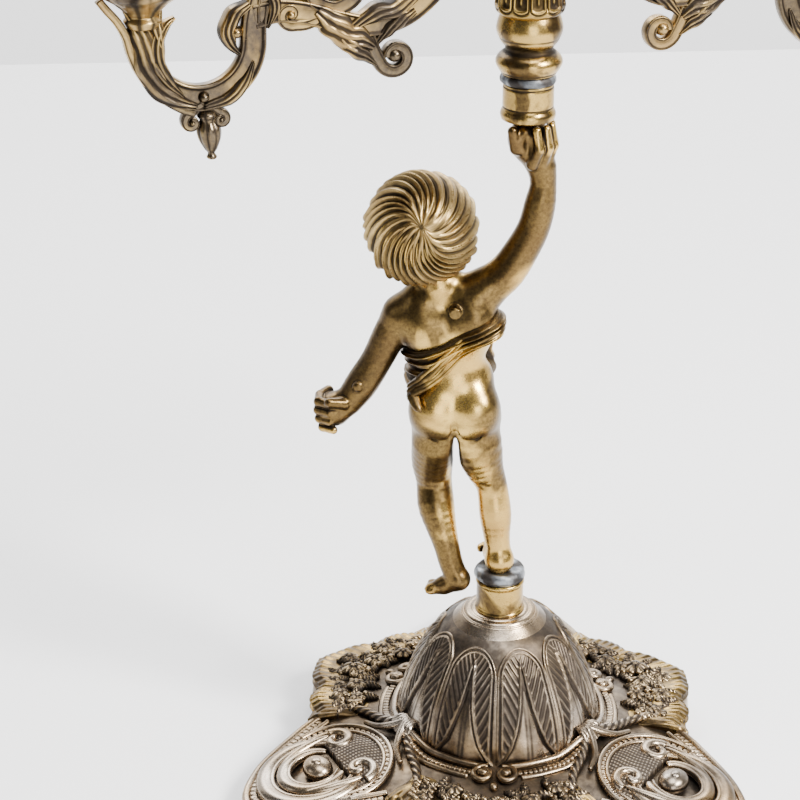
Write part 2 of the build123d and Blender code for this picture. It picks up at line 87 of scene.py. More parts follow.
def loft(points, recess=None, wrap=False):
    # rings of points joined in order; each row is a closed ring, and the ends are closed to their middles
    rows, cols = points.shape[:2]
    dark = np.zeros((rows, cols)) if recess is None else np.broadcast_to(recess, (rows, cols))
    index = np.arange(rows * cols).reshape(rows, cols)
    lower = index if wrap else index[:-1]
    upper = np.roll(index, -1, 0) if wrap else index[1:]
    quads = np.stack([lower, np.roll(lower, -1, 1), np.roll(upper, -1, 1), upper], -1).reshape(-1, 4)
    flat, shade, tris = points.reshape(-1, 3), dark.reshape(-1), np.zeros((0, 3), int)
    if not wrap:
        first, last = index[0], index[-1]
        flat = np.vstack([flat, points[0].mean(0), points[-1].mean(0)])
        shade = np.r_[shade, dark[0].mean(), dark[-1].mean()]
        n = rows * cols
        bottom = np.stack([np.roll(first, -1), first, np.full(cols, n)], 1)
        top = np.stack([last, np.roll(last, -1), np.full(cols, n + 1)], 1)
        tris = np.vstack([bottom, top])
    return outward({"points": flat, "quads": quads, "tris": tris, "recess": shade})


def outward(part):
    # turns every face round if the enclosed volume comes out negative
    p, q, t = part["points"], part["quads"], part["tris"]
    all3 = np.vstack([q[:, [0, 1, 2]], q[:, [0, 2, 3]], t])
    a, b, c = p[all3[:, 0]], p[all3[:, 1]], p[all3[:, 2]]
    if np.einsum("ij,ij->i", a - p.mean(0), np.cross(b - p.mean(0), c - p.mean(0))).sum() < 0:
        part["quads"], part["tris"] = q[:, ::-1], t[:, ::-1]
    return part


def slab(top, bottom, recess, wrap=False):
    # a closed sheet from its upper and lower grids; rings run across the sheet and back underneath
    ring = np.concatenate([top, bottom[:, ::-1]], 1)
    return loft(ring, np.concatenate([recess, recess[:, ::-1]], 1), wrap)


def frames(path, up=(0, 0, 1)):
    # along, side and upper directions at each point of a path
    along = np.gradient(path, axis=0)
    along /= np.linalg.norm(along, axis=1)[:, None] + 1e-9
    side = np.cross(along, np.broadcast_to(np.asarray(up, float), path.shape))
    side /= np.linalg.norm(side, axis=1)[:, None] + 1e-9
    return along, side, np.cross(side, along)


def tube(path, radius, around=14, up=(0, 0, 1), flat=1.0, twist=None, recess=None):
    # a round or flattened bar along a path; twist = (strands, turns per mm, depth) makes it a rope
    path = np.asarray(path, float)
    n = len(path)
    _, side, over = frames(path, up)
    angle = np.linspace(0, 2 * pi, around, endpoint=False)[None]
    size = np.broadcast_to(np.asarray(radius, float).reshape(-1, 1), (n, 1)) * np.ones((1, around))
    dark = np.zeros((n, around)) if recess is None else recess * np.ones((n, around))
    if twist:
        strands, turns, depth = twist
        length = np.r_[0, np.cumsum(np.linalg.norm(np.diff(path, axis=0), axis=1))][:, None]
        wave = np.abs(np.cos(0.5 * strands * (angle - 2 * pi * turns * length)))
        size = size * (1 - depth * (1 - wave ** 0.7))
        dark = np.clip(1.6 * (1 - wave ** 0.7), 0, 1)
    ring = (side[:, None] * (np.cos(angle) * size)[..., None]
            + over[:, None] * (np.sin(angle) * size * flat)[..., None])
    return loft(path[:, None] + ring, dark)


def turnedPiece(x, y, outline, count, around, relief=None, wrap=False):
    # an outline of radius and height turned about an upright axis; relief(angle, share, radius) adds to the
    # radius
    line = evenly(np.asarray(outline, float), count)
    angle = np.linspace(0, 2 * pi, around, endpoint=False)[None]
    share = np.linspace(0, 1, count)[:, None]
    radius = line[:, :1] * np.ones((1, around))
    dark = np.zeros_like(radius)
    if relief:
        rise, dark = relief(angle, share, line[:, 1][:, None])
        radius = np.maximum(radius + rise, 0.02)
    height = line[:, 1][:, None] * np.ones((1, around))
    return loft(np.stack([x + radius * np.cos(angle), y + radius * np.sin(angle), height], -1), dark, wrap)


def ball(centre, radii, rows=8, cols=12):
    # a small ellipsoid
    a = np.linspace(0, pi, rows + 2)[1:-1][:, None]
    b = np.linspace(0, 2 * pi, cols, endpoint=False)[None]
    unit = np.stack([np.sin(a) * np.cos(b), np.sin(a) * np.sin(b), np.cos(a) * np.ones_like(b)], -1)
    return loft(np.asarray(centre) + unit * np.asarray(radii))


def copies(part, matrices):
    # the same small shape at many places: one 3x4 matrix for each
    p, n = part["points"], len(part["points"])
    m = np.asarray(matrices, float)
    points = np.einsum("kij,nj->kni", m[:, :, :3], p) + m[:, None, :, 3]
    step = (np.arange(len(m)) * n)[:, None, None]
    quads = (part["quads"][None] + step).reshape(-1, 4)
    tris = (part["tris"][None] + step).reshape(-1, 3)
    return {"points": points.reshape(-1, 3), "quads": quads, "tris": tris,
            "recess": np.tile(part["recess"], len(m))}


def turnedBy(part, degrees):
    # the part turned about the base's upright axis
    a = np.radians(degrees)
    turn = np.array([[np.cos(a), np.sin(a), 0], [-np.sin(a), np.cos(a), 0], [0, 0, 1]])
    return {**part, "points": part["points"] @ turn}


def makePiece(name, parts, material, body, nodes=()):
    # joins closed shells into one mesh, in metres, and hangs it on its body
    offset, points, quads, tris, shade = 0, [], [], [], []
    for part in parts:
        points.append(part["points"])
        quads.append(part["quads"] + offset)
        tris.append(part["tris"] + offset)
        shade.append(part["recess"])
        offset += len(part["points"])
    points, quads, tris, shade = (np.vstack(points) * mm, np.vstack(quads), np.vstack(tris),
                                  np.concatenate(shade))
    mesh = bpy.data.meshes.new(name)
    mesh.vertices.add(len(points))
    mesh.vertices.foreach_set("co", points.astype(np.float32).ravel())
    corners = np.concatenate([quads.ravel(), tris.ravel()]).astype(np.int32)
    sizes = np.concatenate([np.full(len(quads), 4), np.full(len(tris), 3)]).astype(np.int32)
    mesh.loops.add(len(corners))
    mesh.loops.foreach_set("vertex_index", corners)
    mesh.polygons.add(len(sizes))
    mesh.polygons.foreach_set("loop_start", (np.cumsum(sizes) - sizes).astype(np.int32))
    mesh.polygons.foreach_set("use_smooth", np.ones(len(sizes), bool))
    mesh.update(calc_edges=True)
    mesh.validate()
    layer = mesh.attributes.new("recess", "FLOAT", "POINT")
    layer.data.foreach_set("value", np.clip(shade, 0, 1).astype(np.float32))
    piece = bpy.data.objects.new(name, mesh)
    bpy.context.scene.collection.objects.link(piece)
    mesh.materials.append(material)
    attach(piece, body)
    if nodes:
        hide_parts(*nodes)
    print(name, 2 * len(quads) + len(tris), "triangles")
    return piece


def addNode(tree, kind, **values):
    # a shader node with its properties and unlinked inputs set
    made = tree.nodes.new(kind)
    for key, value in values.items():
        if hasattr(made, key):
            setattr(made, key, value)
        else:
            made.inputs[key.replace("_", " ")].default_value = value
    return made


def ramp(tree, source, stops):
    # a colour ramp of (place, grey or colour)
    made = tree.nodes.new("ShaderNodeValToRGB")
    line = made.color_ramp
    while len(line.elements) < len(stops):
        line.elements.new(0.5)
    for element, (place, tone) in zip(line.elements, stops):
        element.position = place
        element.color = (*((tone,) * 3 if np.isscalar(tone) else tone), 1)
    tree.links.new(source, made.inputs["Fac"])
    return made.outputs["Color"]


def blendColours(tree, share, first, second, mode="MIX"):
    # first where the share is 0, second where it is 1
    made = tree.nodes.new("ShaderNodeMix")
    made.data_type, made.blend_type = "RGBA", mode
    for socket, value in ((made.inputs[0], share), (made.inputs[6], first), (made.inputs[7], second)):
        if isinstance(value, bpy.types.NodeSocket):
            tree.links.new(value, socket)
        elif np.isscalar(value):
            socket.default_value = value
        else:
            socket.default_value = (*value, 1)
    return made.outputs[2]


def noise(tree, place, scale, detail=5.0, rough=0.6, warp=0.0):
    # cloudy pattern at so many cells a metre
    made = addNode(tree, "ShaderNodeTexNoise", Scale=scale, Detail=detail, Roughness=rough, Distortion=warp)
    tree.links.new(place, made.inputs["Vector"])
    return made.outputs["Fac"]


def agedMetal(name, look):
    # rubbed metal: bright and warm tones in soft clouds, sharp-edged brown patches, dark in the recesses
    made = bpy.data.materials.new(name)
    made.use_nodes = True
    tree = made.node_tree
    link = tree.links.new
    shader = tree.nodes["Principled BSDF"]
    place = tree.nodes.new("ShaderNodeTexCoord").outputs["Object"]
    clouds = noise(tree, place, look["cloudScale"], 4, 0.55)
    patches = noise(tree, place, look["patchScale"], 6, 0.5, look["patchWarp"])
    grain = noise(tree, place, 900, 8, 0.7)
    speck = noise(tree, place, 2600, 4, 0.8)
    deep = tree.nodes.new("ShaderNodeAttribute")
    deep.attribute_name = "recess"
    tone = blendColours(tree, ramp(tree, clouds, [(0.32, 0.0), (0.68, 1.0)]), look["bright"], look["warm"])
    edge = look["patchEdge"]
    held = addNode(tree, "ShaderNodeMath", operation="MULTIPLY_ADD")
    link(deep.outputs["Fac"], held.inputs[0])
    held.inputs[1].default_value = look["patchHeld"]
    link(patches, held.inputs[2])
    cover = ramp(tree, held.outputs[0], [(edge, 0.0), (edge + look["patchSoft"], 1.0)])
    thin = ramp(tree, grain, [(0.3, look["patchLow"]), (0.7, look["patchHigh"])])
    tone = blendColours(tree, blendColours(tree, 1.0, cover, thin, "MULTIPLY"), tone, look["patina"])
    tone = blendColours(tree, ramp(tree, speck, [(0.60, 0.0), (0.74, look["speck"])]), tone, look["soot"])
    worn = noise(tree, place, 260, 5, 0.6)
    sunk = tree.nodes.new("ShaderNodeMath")
    sunk.operation = "MULTIPLY_ADD"
    link(worn, sunk.inputs[0])
    sunk.inputs[1].default_value = 0.5
    link(deep.outputs["Fac"], sunk.inputs[2])
    tone = blendColours(tree, ramp(tree, sunk.outputs[0], [(0.36, 0.0), (look["sootAt"], look["sootMost"])]),
                        tone, look["soot"])
    link(tone, shader.inputs["Base Color"])
    shader.inputs["Metallic"].default_value = look["metallic"]
    rough = blendColours(tree, cover, ramp(tree, grain, [(0.25, look["smooth"]), (0.8, look["rough"])]),
                         (look["patinaRough"],) * 3)
    rough = blendColours(tree, ramp(tree, sunk.outputs[0], [(0.4, 0.0), (0.9, 1.0)]), rough, (0.62,) * 3)
    link(rough, shader.inputs["Roughness"])
    fine = addNode(tree, "ShaderNodeBump", Strength=look["grainBump"], Distance=0.0002)
    link(grain, fine.inputs["Height"])
    wave = addNode(tree, "ShaderNodeBump", Strength=look["handBump"], Distance=0.0008)
    link(noise(tree, place, 140, 3, 0.5), wave.inputs["Height"])
    link(fine.outputs["Normal"], wave.inputs["Normal"])
    link(wave.outputs["Normal"], shader.inputs["Normal"])
    return made


# Colours are linear; scales count pattern cells in a metre; patchEdge moves the tarnish's edge, and sootAt is
# how deep a hollow has to be before it is black.
figureLook = {
    "bright": (0.62, 0.41, 0.11), "warm": (0.34, 0.205, 0.06), "patina": (0.040, 0.025, 0.014),
    "soot": (0.016, 0.012, 0.009),
    "cloudScale": 38, "patchHeld": 0.12, "patchScale": 17, "patchWarp": 0.45, "patchEdge": 0.475,
    "patchSoft": 0.03, "patchLow": 0.72, "patchHigh": 0.97,
    "speck": 0.40, "sootAt": 1.10, "sootMost": 0.90, "metallic": 1.0, "smooth": 0.19, "rough": 0.34,
    "patinaRough": 0.30,
    "grainBump": 0.16, "handBump": 0.14,
}
hairLook = {**figureLook, "patchEdge": 0.50, "patchSoft": 0.16, "patchLow": 0.45, "patchHigh": 0.85,
            "bright": (0.44, 0.31, 0.12),
            "warm": (0.24, 0.15, 0.055), "patina": (0.05, 0.033, 0.02), "sootAt": 0.86, "rough": 0.40,
            "patchScale": 24}
stemLook = {**figureLook, "patchEdge": 0.54, "patchSoft": 0.04, "bright": (0.46, 0.305, 0.085),
            "warm": (0.25, 0.155, 0.05), "sootAt": 0.85,
            "patchScale": 55}
baseLook = {**figureLook, "bright": (0.35, 0.30, 0.245), "warm": (0.32, 0.21, 0.095),
            "patina": (0.050, 0.040, 0.033),
            "soot": (0.028, 0.022, 0.018), "patchEdge": 0.46, "patchSoft": 0.17, "patchLow": 0.45,
            "patchHigh": 0.9, "patchScale": 42,
            "smooth": 0.18, "rough": 0.36, "sootAt": 0.70}
giltLook = {**stemLook, "bright": (0.40, 0.27, 0.085), "warm": (0.23, 0.145, 0.05),
            "patina": (0.05, 0.034, 0.02), "patchEdge": 0.47,
            "patchSoft": 0.12, "patchScale": 70}
flowerLook = {**baseLook, "bright": (0.30, 0.23, 0.14), "warm": (0.22, 0.15, 0.075),
              "patina": (0.045, 0.034, 0.025), "sootAt": 0.66}
armLook = {**stemLook, "bright": (0.40, 0.275, 0.105), "warm": (0.22, 0.14, 0.058),
           "patina": (0.046, 0.040, 0.037), "patchEdge": 0.47,
           "patchSoft": 0.12, "sootAt": 0.82, "smooth": 0.24, "rough": 0.40}
cupLook = {**stemLook, "bright": (0.42, 0.285, 0.10), "warm": (0.24, 0.155, 0.055)}
solderLook = {**baseLook, "bright": (0.33, 0.35, 0.37), "warm": (0.14, 0.15, 0.165),
              "patina": (0.055, 0.060, 0.068), "patchEdge": 0.47,
              "patchSoft": 0.10, "patchScale": 190, "smooth": 0.30, "rough": 0.52, "patinaRough": 0.55,
              "grainBump": 0.6}
steelLook = {**baseLook, "bright": (0.55, 0.54, 0.52), "warm": (0.42, 0.41, 0.39), "patina": (0.20, 0.17, 0.14),
             "patchEdge": 0.58,
             "patchSoft": 0.10, "patchScale": 150}
figureMetal = agedMetal("rubbedFigureBrass", figureLook)
hairMetal = agedMetal("hairBrass", hairLook)
stemMetal = agedMetal("stemBrass", stemLook)
baseMetal = agedMetal("silveredBase", baseLook)
giltMetal = agedMetal("giltEdge", giltLook)
flowerMetal = agedMetal("flowerBrass", flowerLook)
armMetal = agedMetal("antiqueArmBrass", armLook)
cupMetal = agedMetal("cupBrass", cupLook)
solderMetal = agedMetal("oxidisedSolder", solderLook)
steelMetal = agedMetal("tarnishedSteel", steelLook)


def refinish(node, material):
    # a CAD piece kept as it is, in a new material
    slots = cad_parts[node].data.materials
    slots.clear()
    slots.append(material)


plainFixings = ("base_washer", "base_nut", "foot_stud", "stem_rod", "swivel_washer", "hub_washer", "hub_nut",
                "arm_grub_screws",
                "cup_studs", "shoulder_pins")
for fixing in plainFixings:
    refinish(fixing, steelMetal)
print("finishes made")


# leaves round the dome, then radii, reaches and heights; the skirt drops 1 mm in each skirtRun
base = {
    "leaves": 9, "domeTop": 12.2, "domeFoot": 35.0, "footHeight": 17.0, "lobeReach": 95.0,
    "lobeHalfWidth": 30.0,
    "notch": 54.9, "floralReach": 75.5, "scallop": 2.6, "edgeHeight": 5.4, "skirtTop": 33.0, "skirtRun": 5.5,
}
domeTopHeight = heights("base_casting")[1]


def domeProfile(count):
    # radius and height down the dome, from its top ring to its foot
    rise = domeTopHeight - base["footHeight"]
    knots = [(base["domeTop"], domeTopHeight - 1.0),
             (0.68 * base["domeFoot"] - 1.6, base["footHeight"] + 0.74 * rise - 0.4),
             (0.90 * base["domeFoot"] - 1.5, base["footHeight"] + 0.38 * rise - 0.4),
             (base["domeFoot"] - 0.6, base["footHeight"] - 1.5)]
    return curveThrough(knots, count)


def leafRelief(u, v):
    # water leaves on the dome: u across one leaf from -0.5 to 0.5, v up from the foot. Hairpin arches stand
    # centred between neighbouring leaves, so their legs make each leaf's double midrib; below, a raised edge
    # runs down to the leaf's tip with veins sloping away from the midrib; plain facets with a ridge fill the
    # gaps; plain above the arches
    a = np.abs(u)
    half = np.interp(v, [0.0, 0.06, 0.15, 0.25, 0.42, 0.60, 0.72], [0.0, 0.13, 0.25, 0.32, 0.41, 0.47, 0.5])
    arch = np.sqrt(((0.5 - a) / 0.455) ** 2 + (np.maximum(v - 0.64, 0) / 0.185) ** 2) - 1
    below = 1 - smoothStep(0.69, 0.74, v)
    leaf = np.maximum(smoothStep(-0.012, 0.012, half - a), 1 - below)
    legs = smoothStep(0.05, 0.16, v)
    line = (bump(arch, 0.035, 0.040) + 0.75 * bump(arch, -0.115, 0.030)) * legs
    groove = bump(arch, -0.045, 0.028) * legs + 0.7 * bump(arch, 0.105, 0.020) * smoothStep(0.60, 0.70, v)
    border = bump(a, half - 0.022, 0.020) * below
    edge = bump(a, half + 0.012, 0.014) * below
    field = (smoothStep(-0.15, -0.19, arch) * np.maximum(smoothStep(0.045, 0.075, half - a), 1 - below)
             * smoothStep(0.07, 0.13, v))
    veins = 0.5 + 0.5 * np.cos(2 * pi * (11.5 * v + 9.0 * a + 0.25 * np.sin(9 * v)))
    knob = bump(np.hypot(1.3 * (a - 0.5), v - 0.715), 0, 0.03)
    ridge = np.abs(a - 0.5)
    facet = (1 - leaf) * below
    height = (0.50 * leaf * smoothStep(0.14, 0.06, arch) + 0.62 * line + 0.60 * border - 0.50 * groove
              - 0.35 * edge + 0.5 * knob)
    height = (height + field * (0.42 * veins ** 1.3 - 0.30)
              + facet * (1.05 * smoothStep(0.26, 0.0, ridge) * smoothStep(0.55, 0.08, v) - 0.25))
    dark = (0.85 * groove + 0.8 * edge + field * (0.62 * (1 - veins) + 0.12)
            + 0.3 * bump(ridge, 0.03, 0.02) * facet + 0.25 * facet * smoothStep(0.1, 0, v))
    return height, np.clip(dark + 0.14, 0, 1)


def domeGrid():
    # the dome's line turned once round, pushed out along its slope by the leaf relief, with a plain inner wall
    rows, cols = 190, 504
    line = domeProfile(rows)
    angle = np.linspace(0, 2 * pi, cols, endpoint=False)
    u = (np.degrees(angle) - 90) / (360 / base["leaves"])
    u = u - np.round(u)
    v = 1 - (np.linspace(0, 1, rows))[:, None]
    rise, dark = leafRelief(u[None], v)
    slope = np.gradient(line, axis=0)
    slope /= np.linalg.norm(slope, axis=1)[:, None]
    normal = np.stack([-slope[:, 1], slope[:, 0]], 1)
    radius = line[:, :1] + normal[:, :1] * rise * 1.15
    height = line[:, 1:] + normal[:, 1:] * rise * 1.15
    top = np.stack([radius * np.cos(angle), radius * np.sin(angle), height], -1)
    inner = evenly(np.array([(base["domeFoot"] - 4, base["footHeight"] - 2.5), (25.5, 43), (18.0, 53.0),
                             (11.0, domeTopHeight - 2.4)]), 12)
    under = np.stack([inner[:, :1] * np.cos(angle), inner[:, :1] * np.sin(angle),
                      inner[:, 1:] * np.ones((1, cols))], -1)
    return loft(np.vstack([top, under]), np.vstack([dark, np.full((12, cols), 0.4)]), wrap=True)


def planReach(angle):
    # reach of the base's edge at an angle: pointed cartouche lobes at 30, 150 and 270 degrees, scalloped
    # corners between
    wide, tip = base["lobeHalfWidth"], base["lobeReach"]
    side = curveThrough([(base["notch"], wide), (0.70 * tip, 0.84 * wide), (0.90 * tip, 0.48 * wide),
                         (tip, 0)], 60)
    turn = np.radians(60)
    corner = np.array([base["floralReach"] * np.cos(turn), base["floralReach"] * np.sin(turn)])
    start = side[0]
    outwards = np.array([corner[1] - start[1], -(corner[0] - start[0])])
    outwards /= np.linalg.norm(outwards)
    share = np.linspace(0, 1, 40)
    chord = (start + (corner - start) * share[:, None]
             + outwards * (base["scallop"] * np.abs(np.sin(2 * pi * share)))[:, None])
    line = np.vstack([side[::-1], chord[1:]])
    bearing, reach = np.arctan2(line[:, 1], line[:, 0]), np.hypot(line[:, 0], line[:, 1])
    folded = np.abs((np.degrees(angle) - 30 + 60) % 120 - 60)
    return np.interp(np.radians(folded), bearing, reach)


def skirtHeight(radius):
    # height of the skirt's shallow cone at a radius
    return base["footHeight"] + 0.5 - (radius - base["skirtTop"]) / base["skirtRun"]


def apronGrid():
    # the skirt: from the dome's foot down a shallow cone to the edge, round it and back underneath to the
    # hollow
    cols, rows = 720, 60
    angle = np.linspace(0, 2 * pi, cols, endpoint=False)
    reach = planReach(angle)[None]
    t = np.linspace(0, 1, rows)[:, None]
    radius = 31 + (reach - 1.0 - 31) * t
    fromEdge = reach - radius
    height = skirtHeight(radius) - 0.8 * smoothStep(9, 5.5, fromEdge)
    top = np.stack([radius * np.cos(angle), radius * np.sin(angle), height], -1)
    drops = [(0.0, base["edgeHeight"] - 1), (0.0, 0.5), (0.4, 0.0), (2.2, 0.0), (2.6, 0.6), (2.8, 3.0)]
    rim = [np.stack([(reach[0] - d) * np.cos(angle), (reach[0] - d) * np.sin(angle), np.full(cols, z)], -1)
           for d, z in drops]
    innerRadius = (reach - 3.0) + (28 - (reach - 3.0)) * np.linspace(0, 1, 14)[:, None]
    innerHeight = skirtHeight(innerRadius) - 3.1
    inner = np.stack([innerRadius * np.cos(angle), innerRadius * np.sin(angle), innerHeight], -1)
    dark = np.zeros((rows + len(drops) + 14, cols))
    dark[:rows] = 0.35 + 0.2 * bump(fromEdge, 7, 2)
    dark[rows + len(drops):] = 0.5
    return loft(np.concatenate([top, np.array(rim), inner]), dark, wrap=True)


def beadBlock(size):
    # a small cushion-shaped block, its corners rounded by a superellipsoid
    a = np.linspace(-pi / 2, pi / 2, 7)[1:-1][:, None]
    b = np.linspace(-pi, pi, 12, endpoint=False)[None]
    power = lambda w: np.sign(w) * np.abs(w) ** 0.45
    unit = np.stack([power(np.cos(a)) * power(np.cos(b)), power(np.cos(a)) * power(np.sin(b)),
                     power(np.sin(a)) * np.ones_like(b)], -1)
    return loft(unit * np.asarray(size))


def alongPath(path, count, start=0.0, end=1.0):
    # matrices that stand a small shape along a path, its x along the path and its z up
    line = evenly(np.asarray(path, float), 200)
    at = np.linspace(start, end, count) * 199
    place = np.stack([np.interp(at, np.arange(200), line[:, k]) for k in range(3)], 1)
    tangent = np.stack([np.interp(at, np.arange(200), np.gradient(line[:, k])) for k in range(3)], 1)
    tangent /= np.linalg.norm(tangent, axis=1)[:, None]
    side = np.cross(np.broadcast_to((0.0, 0, 1), tangent.shape), tangent)
    side /= np.linalg.norm(side, axis=1)[:, None] + 1e-9
    over = np.cross(tangent, side)
    return np.concatenate([np.stack([tangent, side, over], 2), place[:, :, None]], 2)


def onApron(radius, bearing, lift=0.0):
    # a point on the skirt by its radius and bearing in degrees
    a = np.radians(bearing)
    return np.stack(np.broadcast_arrays(radius * np.cos(a), radius * np.sin(a), skirtHeight(radius) + lift), -1)


def bandParts():
    # scroll bands round the dome's foot: two mouldings with a row of square beads between, from the crest over
    # a cartouche to a pair of curls over a floral lobe
    parts = []
    t = np.linspace(0, 1, 60)
    crest = 3.2 * (1 - smoothStep(0, 0.45, t))
    for hand in (1, -1):
        bearing = 90 + hand * (34 + 48.5 * t - 90)
        waist = 36.2 - 0.6 * np.sin(pi * t)
        path = onApron(waist, bearing, crest + 0.9)
        centre = onApron(40.1, 90 + hand * (-5.2), 1.0)
        spin = np.linspace(pi * 0.62, -pi * 2.1, 70)
        reach = np.linspace(3.9, 0.6, 70)
        curl = centre + np.column_stack([
            hand * np.cos(spin) * reach, -np.sin(spin) * reach,
            np.sin(spin) * reach / base["skirtRun"] + np.linspace(0, 1.0, 70)])
        path = evenly(np.vstack([path[:-4], curl]), 150)
        parts.append(tube(path, np.interp(np.linspace(0, 1, 150), [0, 0.5, 0.8, 1], [1.3, 1.25, 1.1, 1.3]), 12))
        parts.append(ball(centre + (0, 0, 1.2), (1.7, 1.7, 1.3)))
        parts.append(tube(onApron(waist + 4.6 * smoothStep(0.0, 0.25, t), bearing, crest)[:-6], 1.15, 12))
        beadLine = onApron(38.3 + 0.6 * t, bearing, 0.3 + crest)
        parts.append(copies(beadBlock((0.92, 1.15, 0.95)), alongPath(beadLine, 15, start=0.16, end=0.90)))
    parts.append(ball(onApron(44.6, 90.0, 0.6), (1.5, 2.1, 1.5)))
    return parts


def ropeParts():
    # twisted rope swags: from each crest a rope hangs out to the floral lobe on either side
    parts = []
    for hand in (1, -1):
        knots = [onApron(r, 30 + hand * b, l) for r, b,
                 l in ((35.5, 1.5, 4.6), (37.0, 7.0, 3.0), (40.5, 15.0, 1.8), (44.5, 24.0, 1.3),
                       (50.0, 30.0, 1.2))]
        path = curveThrough(knots, 150)
        parts.append(tube(path, np.linspace(2.0, 1.5, 150), 18, twist=(3, 0.10, 0.30)))
        parts.append(ball(path[-1], (1.9, 1.9, 1.7)))
        outer = curveThrough([onApron(r, 30 + hand * b, l) for r, b,
                              l in ((35.5, 0.5, 5.0), (39.5, 5.0, 3.6), (43.0, 10.0, 2.4),
                                    (46.0, 17.0, 1.4))], 80)
        parts.append(tube(outer, np.linspace(1.5, 0.9, 80), 12))
    for k in range(7):
        spread = (k - 3) * 1.9
        fan = curveThrough([onApron(33.4, 30 + 0.8 * spread, 5.2), onApron(35.8, 30 + 1.1 * spread, 5.0),
                            onApron(38.8 - 0.15 * abs(k - 3), 30 + 1.35 * spread, 2.6)], 30)
        parts.append(tube(fan, np.interp(np.linspace(0, 1, 30), [0, 0.5, 1], [0.8, 1.25, 1.0]), 10,
                          recess=0.15))
    return parts


def lobeFrame(along, across, lift):
    # a point on the cartouche at bearing 0: distance out, distance across and height over the skirt
    return np.stack(np.broadcast_arrays(along, across, skirtHeight(np.hypot(along, across)) + lift), -1)


def cartoucheOutline(inset, count):
    # the lobe's edge from one notch round its tip to the other, moved in by the inset
    wide, tip = base["lobeHalfWidth"] - inset, base["lobeReach"] - inset
    half = [(base["notch"] - 0.2 * inset, wide), (0.70 * base["lobeReach"] - 0.5 * inset, 0.84 * wide),
            (0.90 * tip, 0.48 * wide)]
    knots = half + [(tip, 0)] + [(x, -y) for x, y in half[::-1]]
    return curveThrough(knots, count)


def cartoucheParts():
    # beaded rim, finely hatched field, nested scroll ridges round a boss, and a bar running inwards
    parts = {"rim": [], "field": [], "scroll": []}
    for inset, size, lift in ((1.6, 1.5, 0.4), (6.6, 1.0, 0.9)):
        edge = cartoucheOutline(inset, 160)
        parts["rim"].append(tube(lobeFrame(edge[:, 0], edge[:, 1], lift), size, 12))
    beads = cartoucheOutline(4.2, 200)
    parts["rim"].append(copies(beadBlock((1.12, 1.25, 1.0)),
                               alongPath(lobeFrame(beads[:, 0], beads[:, 1], 0.5), 44, start=0.03, end=0.97)))
    turn = np.linspace(pi * 0.42, pi * 1.58, 120)
    for size, radius, lift in ((0.9, 1.0, 1.5), (0.7, 0.86, 1.2)):
        inner = lobeFrame(61 + 18.0 * radius * np.cos(turn), 20.0 * radius * np.sin(turn), lift)
        parts["rim"].append(tube(inner, size, 10))
    border = lobeFrame(61 + 16.8 * np.cos(turn), 18.6 * np.sin(turn), 0.9)
    parts["rim"].append(copies(beadBlock((0.95, 0.8, 0.8)), alongPath(border, 30)))
    rows, cols = 70, 150
    a = np.linspace(0, 1, rows)[:, None]
    b = np.linspace(0.5 * pi, 1.5 * pi, cols)[None]
    out, cross = 61 + 15.6 * a * np.cos(b), 17.2 * a * np.sin(b)
    hatch = np.abs(np.sin(2 * pi * cross / 3.0 + 0.9 * np.sin(out * 0.5)))
    cuts = 0.5 + 0.5 * np.cos(2 * pi * out / 1.15 + 2.0 * np.floor(cross / 1.5))
    crown = 2.4 * (1 - a ** 2)
    top = lobeFrame(out, cross, 0.8 + crown + 0.32 * hatch * (0.4 + 0.6 * cuts))
    bottom = lobeFrame(out, cross, -1.2)
    parts["field"].append(slab(top, bottom,
                               np.broadcast_to(0.78 - 0.62 * hatch * (0.35 + 0.65 * cuts), (rows, cols))))
    spiral = np.linspace(0, 1, 150)
    for reachOut, reachIn, size, lift, swing in ((16.2, 13.8, 3.3, 1.0, 0.92), (10.6, 8.4, 2.5, 2.0, 0.84)):
        angle = pi * swing * (1 - 2 * spiral) * 0.86
        r = reachOut + (reachIn - reachOut) * (2 * np.abs(spiral - 0.5)) ** 2
        path = lobeFrame(68.0 + r * np.cos(angle) * 1.10, r * np.sin(angle), lift)
        parts["scroll"].append(tube(path, size * (0.35 + 0.65 * np.sin(pi * spiral) ** 0.6), 20, flat=0.8))
        groove = lobeFrame(68.0 + (r - 0.62 * size) * np.cos(angle) * 1.10, (r - 0.62 * size) * np.sin(angle),
                           lift + 0.35 * size)
        parts["scroll"].append(tube(groove, 0.30 * size * (0.5 + 0.5 * np.sin(pi * spiral)), 10))
    for hand in (1, -1):
        wind = np.linspace(0, 1, 110)
        angle = hand * (0.5 * pi + wind * 2.0 * pi)
        r = 5.0 * (1 - wind) ** 0.8 + 0.5
        path = lobeFrame(57.0 + r * np.cos(angle), hand * 9.4 + r * np.sin(angle), 1.6 + 1.4 * wind)
        parts["scroll"].append(tube(path, np.linspace(1.9, 1.3, 110), 12))
        brow = lobeFrame(np.linspace(58, 79, 60), hand * (13.4 - 5.6 * np.linspace(0, 1, 60) ** 2), 2.4)
        parts["scroll"].append(tube(brow, 1.7 * np.sin(pi * np.linspace(0.06, 0.98, 60)) ** 0.7, 14))
    parts["scroll"].append(ball(lobeFrame(68.0, 0.0, 2.2), (5.0, 5.8, 3.6), 14, 24))
    parts["scroll"].append(ball(lobeFrame(68.6, 0.0, 5.0), (2.0, 2.4, 1.4), 10, 18))
    return parts


